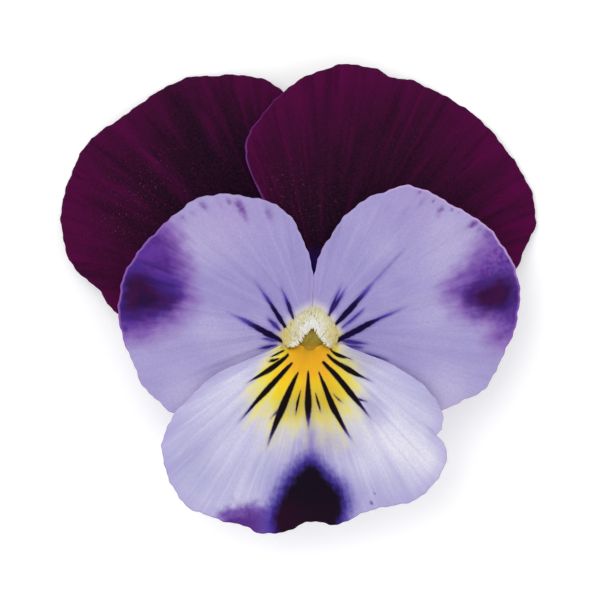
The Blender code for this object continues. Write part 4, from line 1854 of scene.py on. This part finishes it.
@dataclass
class Pistil:
    """The ovary, the bent style and the round head that shows in the throat."""

    course: Sequence[Spot] = (
        (0.9, -1.9, 5.0, 0.3), (0.9, -1.9, 5.4, 0.52), (0.9, -1.9, 5.9, 0.6), (0.9, -1.95, 6.5, 0.46),
        (0.9, -2.1, 7.0, 0.27), (0.92, -2.35, 7.4, 0.26), (0.95, -2.6, 7.75, 0.36), (0.97, -2.8, 8.0, 0.45),
    )
    head: Place = (1.02, -3.2, 8.62)
    head_size: Place = (1.06, 0.95, 0.38)
    head_hollow: float = 0.12
    head_droop: float = 0.5
    head_taper: float = 0.3
    head_rows: int = 22
    head_sides: int = 36
    sides: int = 28

    def head_points(self) -> Array:
        """A flattened ball with a hollow near its lower side.

        Returns:
            The points, in rings from the top down, then the top and the bottom.
        """
        polar = np.linspace(0, math.pi, self.head_rows + 2)[1:-1, None]
        turns = np.arange(self.head_sides) * 2 * math.pi / self.head_sides
        unit = np.stack([
            np.sin(polar) * np.cos(turns), np.sin(polar) * np.sin(turns), np.cos(polar) * np.ones_like(turns),
        ], -1).reshape(-1, 3)
        unit = np.concatenate([unit, [[0, 0, 1.0], [0, 0, -1.0]]])
        hollow = np.exp(-((unit[:, 0] / 0.35) ** 2 + ((unit[:, 1] + 0.25) / 0.3) ** 2)) * (unit[:, 2] > 0)
        points = unit * np.array(self.head_size)
        points[:, 2] -= self.head_hollow * hollow + self.head_droop * ease((-unit[:, 1] - 0.1) / 0.9)
        points[:, 0] *= 1 - self.head_taper * np.clip(unit[:, 1], -1, 1)
        return points + np.array(self.head)

    def build(self, material: Material) -> Object:
        """Makes the pistil.

        Args:
            material: Its finish.

        Returns:
            The pistil.
        """
        line = smooth_curve(self.course, 0.08)
        parts = MeshParts()
        parts.tube(line[:, :3], line[:, 3], self.sides)
        points = self.head_points()
        lower = np.clip((-3.3 - points[:, 1]) / 0.8, 0.0, 1.0)
        faces = [(face[0], *face[:0:-1]) for face in ring_faces(self.head_rows, self.head_sides)]
        parts.add(points, faces, {"grown": lower, "tag": np.zeros(len(points))})
        return place(parts.object("pistil_fine", material), Slot.PISTIL, "pistil")


@dataclass
class Stamen:
    """One anther with its two lobes and its orange tip, pressed round the ovary."""

    spoke: Spoke
    ring: float = 1.27
    lobe_depth: float = 0.16
    sides: int = 24
    course: Sequence[Place] = (
        (1.0, 5.1, 0.12), (1.0, 5.3, 0.26), (1.0, 5.6, 0.34), (0.98, 6.1, 0.35), (0.94, 6.6, 0.27),
        (0.86, 6.95, 0.14), (0.8, 7.08, 0.05),
    )

    def build(self, material: Material) -> Object:
        """Makes the stamen; its course gives the share of the ring, the height and the radius.

        Args:
            material: Its finish.

        Returns:
            The stamen.
        """
        angle = math.radians(self.spoke.value)
        spots = [
            (SEAT_X + self.ring * r * math.cos(angle), SEAT_Y + self.ring * r * math.sin(angle), z, size)
            for r, z, size in self.course
        ]
        line = smooth_curve(spots, 0.06)
        turns = np.arange(self.sides) * 2 * math.pi / self.sides
        lobes = 1 - self.lobe_depth * np.abs(np.cos(turns)) ** 6
        parts = MeshParts()
        parts.tube(line[:, :3], line[:, 3][:, None] * lobes[None], self.sides, 0.3)
        name = "stamen_" + self.spoke.name.lower()
        return place(parts.object(name + "_fine", material), Slot.ANTHER, name)


@dataclass
class Sepal:
    """A pointed green leaf behind the petals, with its ear below the join."""

    spoke: Spoke
    half_width: float = 1.1
    least_half_width: float = 0.07
    arch: float = 0.18
    keel: float = 0.07
    edge_thickness: float = 0.1
    rib_thickness: float = 0.32
    rows: int = 70
    columns: int = 21
    ear: Sequence[Plan] = ((3.5, 2.3), (2.9, 2.75), (2.45, 3.4), (2.6, 4.1))
    leaned: Sequence[Plan] = ((3.4, 4.55), (5.0, 4.6), (7.0, 4.35), (9.2, 3.8))
    raised: Sequence[Plan] = ((3.4, 4.9), (4.8, 5.8), (6.6, 6.6), (8.6, 7.1))

    def half_widths(self, share: Array) -> Array:
        """Half the width from the ear's end to the tip, with a slightly uneven margin.

        Args:
            share: Share of the way.

        Returns:
            Half the width at each.
        """
        ear = (0.78 - 0.35 * ease((share - 0.1) / 0.2)) * (1 - ease((share - 0.3) / 0.2))
        leaf = self.half_width * np.sin(math.pi * np.minimum(1.0, (share + 0.1) / 1.12)) ** 0.8
        half = np.maximum(np.maximum(ear, leaf * ease((share - 0.15) / 0.25)), self.least_half_width)
        half *= ease(share / 0.05 + 0.35)
        return half + 0.03 * np.sin(share * 55 + self.spoke.value) * ease(share / 0.2)

    def build(self, material: Material) -> Object:
        """Makes the sepal.

        Args:
            material: Its finish.

        Returns:
            The sepal.
        """
        lower = self.spoke in (Spoke.LOWER_LEFT, Spoke.LOWER_RIGHT)
        course = (*self.ear, *(self.raised if lower else self.leaned))
        line = evenly(smooth_curve(course, 0.05), self.rows)
        angle = math.radians(self.spoke.value)
        outward = np.array([math.cos(angle), math.sin(angle), 0.0])
        sideways = np.array([-math.sin(angle), math.cos(angle), 0.0])
        share = np.linspace(0, 1, self.rows)
        half = self.half_widths(share)
        t = np.linspace(-1, 1, self.columns)
        middle = np.array([SEAT_X, SEAT_Y, 0.0]) + outward * line[:, :1]
        grid = middle[:, None] + sideways * (half[:, None] * t)[..., None]
        keel = self.keel * np.exp(-((t / 0.16) ** 2))
        grid[..., 2] += line[:, 1:] - self.arch * (t * t) * half[:, None] - keel * ease(share[:, None] / 0.3)
        rib = self.rib_thickness * (1 - np.abs(t) ** 2.2) * (1 - 0.5 * share[:, None])
        thickness = self.edge_thickness + rib
        around = np.broadcast_to(t * self.half_width * 3, grid.shape[:2])
        fields = {
            "fan": np.stack([around, np.broadcast_to(share[:, None] * 10, grid.shape[:2]), 0 * around], -1),
            "grown": np.broadcast_to(share[:, None], grid.shape[:2]) * 0.8,
            "tag": np.broadcast_to(np.abs(t) ** 3, grid.shape[:2]),
        }
        parts = MeshParts()
        parts.sheet(grid[:, ::-1], thickness[:, ::-1], {key: held[:, ::-1] for key, held in fields.items()})
        name = "sepal_" + self.spoke.name.lower()
        return place(parts.object(name + "_fine", material), Slot.SEPAL, name)


@dataclass
class Spur:
    """The hollow heel of the lower petal, which bends back between the sepals."""

    petal: LowerPetal
    course: Sequence[Spot] = (
        (0.9, -5.25, 8.3, 1.25), (0.9, -5.5, 7.5, 1.05), (0.92, -5.75, 6.3, 0.97), (0.95, -5.9, 5.0, 0.92),
        (0.98, -6.35, 3.8, 0.9), (1.0, -7.1, 2.8, 0.87), (1.1, -7.7, 2.3, 0.74), (1.2, -8.2, 2.0, 0.3),
    )
    sides: int = 36
    creases: Sequence[Plan] = ((3, 0.035), (7, 0.02))
    below_petal: float = 0.08
    top_hollow: float = 0.3

    def build(self, material: Material) -> Object:
        """Makes the spur, its upper end fitted to the petal's underside.

        Args:
            material: Its finish.

        Returns:
            The spur.
        """
        line = smooth_curve(self.course, 0.1)
        parts = MeshParts()
        parts.tube(line[:, :3], fluted(line[:, 3], self.sides, self.creases), self.sides)
        points = parts.points[0]
        top = [*range(self.sides), -2]
        points[top, 2] = self.petal.plain_height(points[top, 0], points[top, 1]) - self.below_petal
        points[-2, 2] -= self.top_hollow
        return place(parts.object("petal_lower_spur", material), Slot.PALE, self.petal.node)


@dataclass
class Stalk:
    """The seat of the flower and its short stalk, which lies on the surface."""

    course: Sequence[Spot] = (
        (0.9, -1.9, 4.8, 1.48), (0.9, -1.9, 4.6, 1.85), (0.9, -1.9, 4.1, 1.76), (0.9, -1.9, 3.6, 1.3),
        (0.88, -1.85, 3.2, 0.84), (0.8, -1.8, 2.5, 0.72), (0.65, -1.95, 1.7, 0.7), (0.4, -2.6, 1.0, 0.7),
        (0.1, -3.7, 0.68, 0.7), (-0.4, -6.0, 0.62, 0.7), (-0.8, -9.0, 0.62, 0.68),
        (-1.0, -13.6, 0.62, 0.72),
    )
    sides: int = 40
    ridges: Sequence[Plan] = ((5, 0.03), (11, 0.012))

    def build(self, material: Material) -> Object:
        """Makes the stalk.

        Args:
            material: Its finish.

        Returns:
            The stalk.
        """
        line = smooth_curve(self.course, 0.12)
        parts = MeshParts()
        parts.tube(line[:, :3], fluted(line[:, 3], self.sides, self.ridges), self.sides)
        points = parts.points[0]
        points[:, 2] = np.maximum(points[:, 2], 0.0)
        return place(parts.object("flower_stalk_fine", material), Slot.STALK, "flower_stalk")


@dataclass
class Studio:
    """The pale floor, the soft light and the camera straight above."""

    distance: float = 1000.0
    view_width: float = 48.0
    middle: Place = (0.12, -0.16, 8.0)
    floor_half: float = 3.0
    floor_tones: tuple[Colour, Colour] = (tint(247, 247, 247), tint(251, 251, 251))
    floor_glow: float = 0.22
    white: Colour = (1.0, 1.0, 1.0, 1.0)
    sky: float = 0.85
    lamps: Sequence[tuple[str, Place, float, float]] = (
        ("soft_key", (-0.22, 0.2, 0.85), 0.5, 2.4), ("soft_fill", (0.4, -0.3, 0.7), 0.6, 0.6),
    )

    def floor(self) -> None:
        """Makes the floor, as a square whose half side is in metres."""
        half = self.floor_half
        mesh = bpy.data.meshes.new("floor")
        spots = [(-half, -half, 0), (half, -half, 0), (half, half, 0), (-half, half, 0)]
        mesh.from_pydata(spots, [], [(0, 1, 2, 3)])
        graph = Graph("floor_paper")
        graph.set(Roughness=0.9, Specular_IOR_Level=0.1)
        graph.set(Emission_Color=self.white, Emission_Strength=self.floor_glow)
        grain = graph.noise(graph.plan(), 0.05, 3.0)
        mesh.materials.append(graph.finish(graph.mix(grain, *self.floor_tones), grain, 0.01))
        made = added("floor", mesh)

    def lamp(self, name: str, spot: Place, size: float, power: float) -> None:
        """Makes one soft lamp that points at the flower.

        Args:
            name: Its name.
            spot: Where it stands, in metres.
            size: The side of its square, in metres.
            power: Its power in watts.
        """
        light = bpy.data.lights.new(name, "AREA")
        light.size = size
        light.energy = power
        made = added(name, light)
        made.location = spot
        made.rotation_euler = (-Vector(spot)).to_track_quat("-Z", "Y").to_euler()

    def build(self) -> None:
        """Sets up the floor, the light and the camera."""
        self.floor()
        world = bpy.data.worlds.new("studio")
        world.use_nodes = True
        background = world.node_tree.nodes["Background"]
        background.inputs["Color"].default_value = self.white
        background.inputs["Strength"].default_value = self.sky
        scene = bpy.context.scene
        scene.world = world
        scene.view_settings.view_transform = "Standard"
        for lamp in self.lamps:
            self.lamp(*lamp)
        camera = bpy.data.cameras.new("camera")
        camera.lens = camera.sensor_width * self.distance / self.view_width
        made = added("camera", camera)
        made.location = (self.middle[0] * MM, self.middle[1] * MM, (self.middle[2] + self.distance) * MM)
        scene.camera = made


def build_petals() -> dict[Side, Object]:
    """Builds the petals and the spur.

    Returns:
        The side petals, for the beards.
    """
    velvet = VelvetSkin().material()
    lilac = LilacSkin().material()
    pale = PaleSkin().material()
    UpperPetal("petal_upper_left", Slot.BURGUNDY, UPPER_LEFT_RIM, (108, 144), 0.4, 0.42, 4.5, 3,
               side=Side.LEFT).build(velvet)
    UpperPetal("petal_upper_right", Slot.BURGUNDY, UPPER_RIGHT_RIM, (38, 76), 2.6, 0.42, 4.5, 4,
               side=Side.RIGHT).build(velvet)
    left = SidePetal(
        "petal_side_left", Slot.LILAC, SIDE_LEFT_RIM, (171, 211), 0.3, 0.26, 4.0, 5, FINE_STEP, FINE_ROWS,
        streaks=LEFT_STREAKS, blotch=LEFT_BLOTCH, core=LEFT_CORE, dashes=LEFT_DASHES, beard=LEFT_BEARD,
        lip=LEFT_LIP, lights=LEFT_PAINTED_LIGHT_AND_SHADE, pink=LEFT_PINK,
    ).build(lilac)
    right = SidePetal(
        "petal_side_right", Slot.LILAC, SIDE_RIGHT_RIM, (-28, 14), 1.9, 0.26, 4.0, 6, FINE_STEP, FINE_ROWS,
        streaks=RIGHT_STREAKS, blotch=RIGHT_BLOTCH, core=RIGHT_CORE, dashes=RIGHT_DASHES, beard=RIGHT_BEARD,
        lip=RIGHT_LIP, lights=RIGHT_PAINTED_LIGHT_AND_SHADE, pink=RIGHT_PINK, tuck=-0.045, gleam=1.0,
    ).build(lilac)
    lower = LowerPetal("petal_lower", Slot.PALE, LOWER_RIM, (0, 0), 1.0, 0.3, 4.5, 7, FINE_STEP, FINE_ROWS)
    lower.build(pale)
    spur = PlantFinish("spur_violet", tint(132, 112, 176), tint(176, 164, 206), tint(110, 82, 160))
    Spur(lower).build(spur.material())
    return {Side.LEFT: left, Side.RIGHT: right}


def build_throat(petals: dict[Side, Object]) -> None:
    """Builds the beards, the pistil and the stamens.

    Args:
        petals: The side petals, which carry the beards.
    """
    hair = BeardFinish().material()
    Beard(Side.LEFT, petals[Side.LEFT], LEFT_BEARD, LEFT_FRINGE, 21).build(hair)
    Beard(Side.RIGHT, petals[Side.RIGHT], RIGHT_BEARD, RIGHT_FRINGE, 22).build(hair)
    olive = PlantFinish("pistil_olive_skin", tint(128, 114, 36), tint(162, 146, 54), tint(190, 158, 46),
                        2.5, 0.65, 0.15)
    Pistil().build(olive.material())
    anther = PlantFinish("anther_skin", tint(196, 172, 96), tint(222, 204, 140), tint(206, 112, 28), 2.5)
    anther_skin = anther.material()
    for spoke in Spoke:
        Stamen(spoke).build(anther_skin)


def build_greens() -> None:
    """Builds the sepals and the stalk."""
    green = PlantFinish("sepal_skin", tint(62, 96, 36), tint(104, 138, 62), tint(116, 122, 70),
                        1.4, veined=True)
    green_skin = green.material()
    for spoke in Spoke:
        Sepal(spoke).build(green_skin)
    stem = PlantFinish("stalk_skin", tint(82, 112, 44), tint(126, 152, 74), tint(138, 154, 88), 1.0, 0.45)
    Stalk().build(stem.material())


def corners(box: tuple[Vector, Vector]) -> list[list[float]]:
    """The box's two corners as plain lists."""
    return [[float(value) for value in corner] for corner in box]


def main() -> None:
    """Builds the flower and its studio."""
    logging.basicConfig(level=logging.INFO, format="%(message)s")
    petals = build_petals()
    build_throat(petals)
    build_greens()
    Studio().build()


if __name__ == "__main__":
    main()
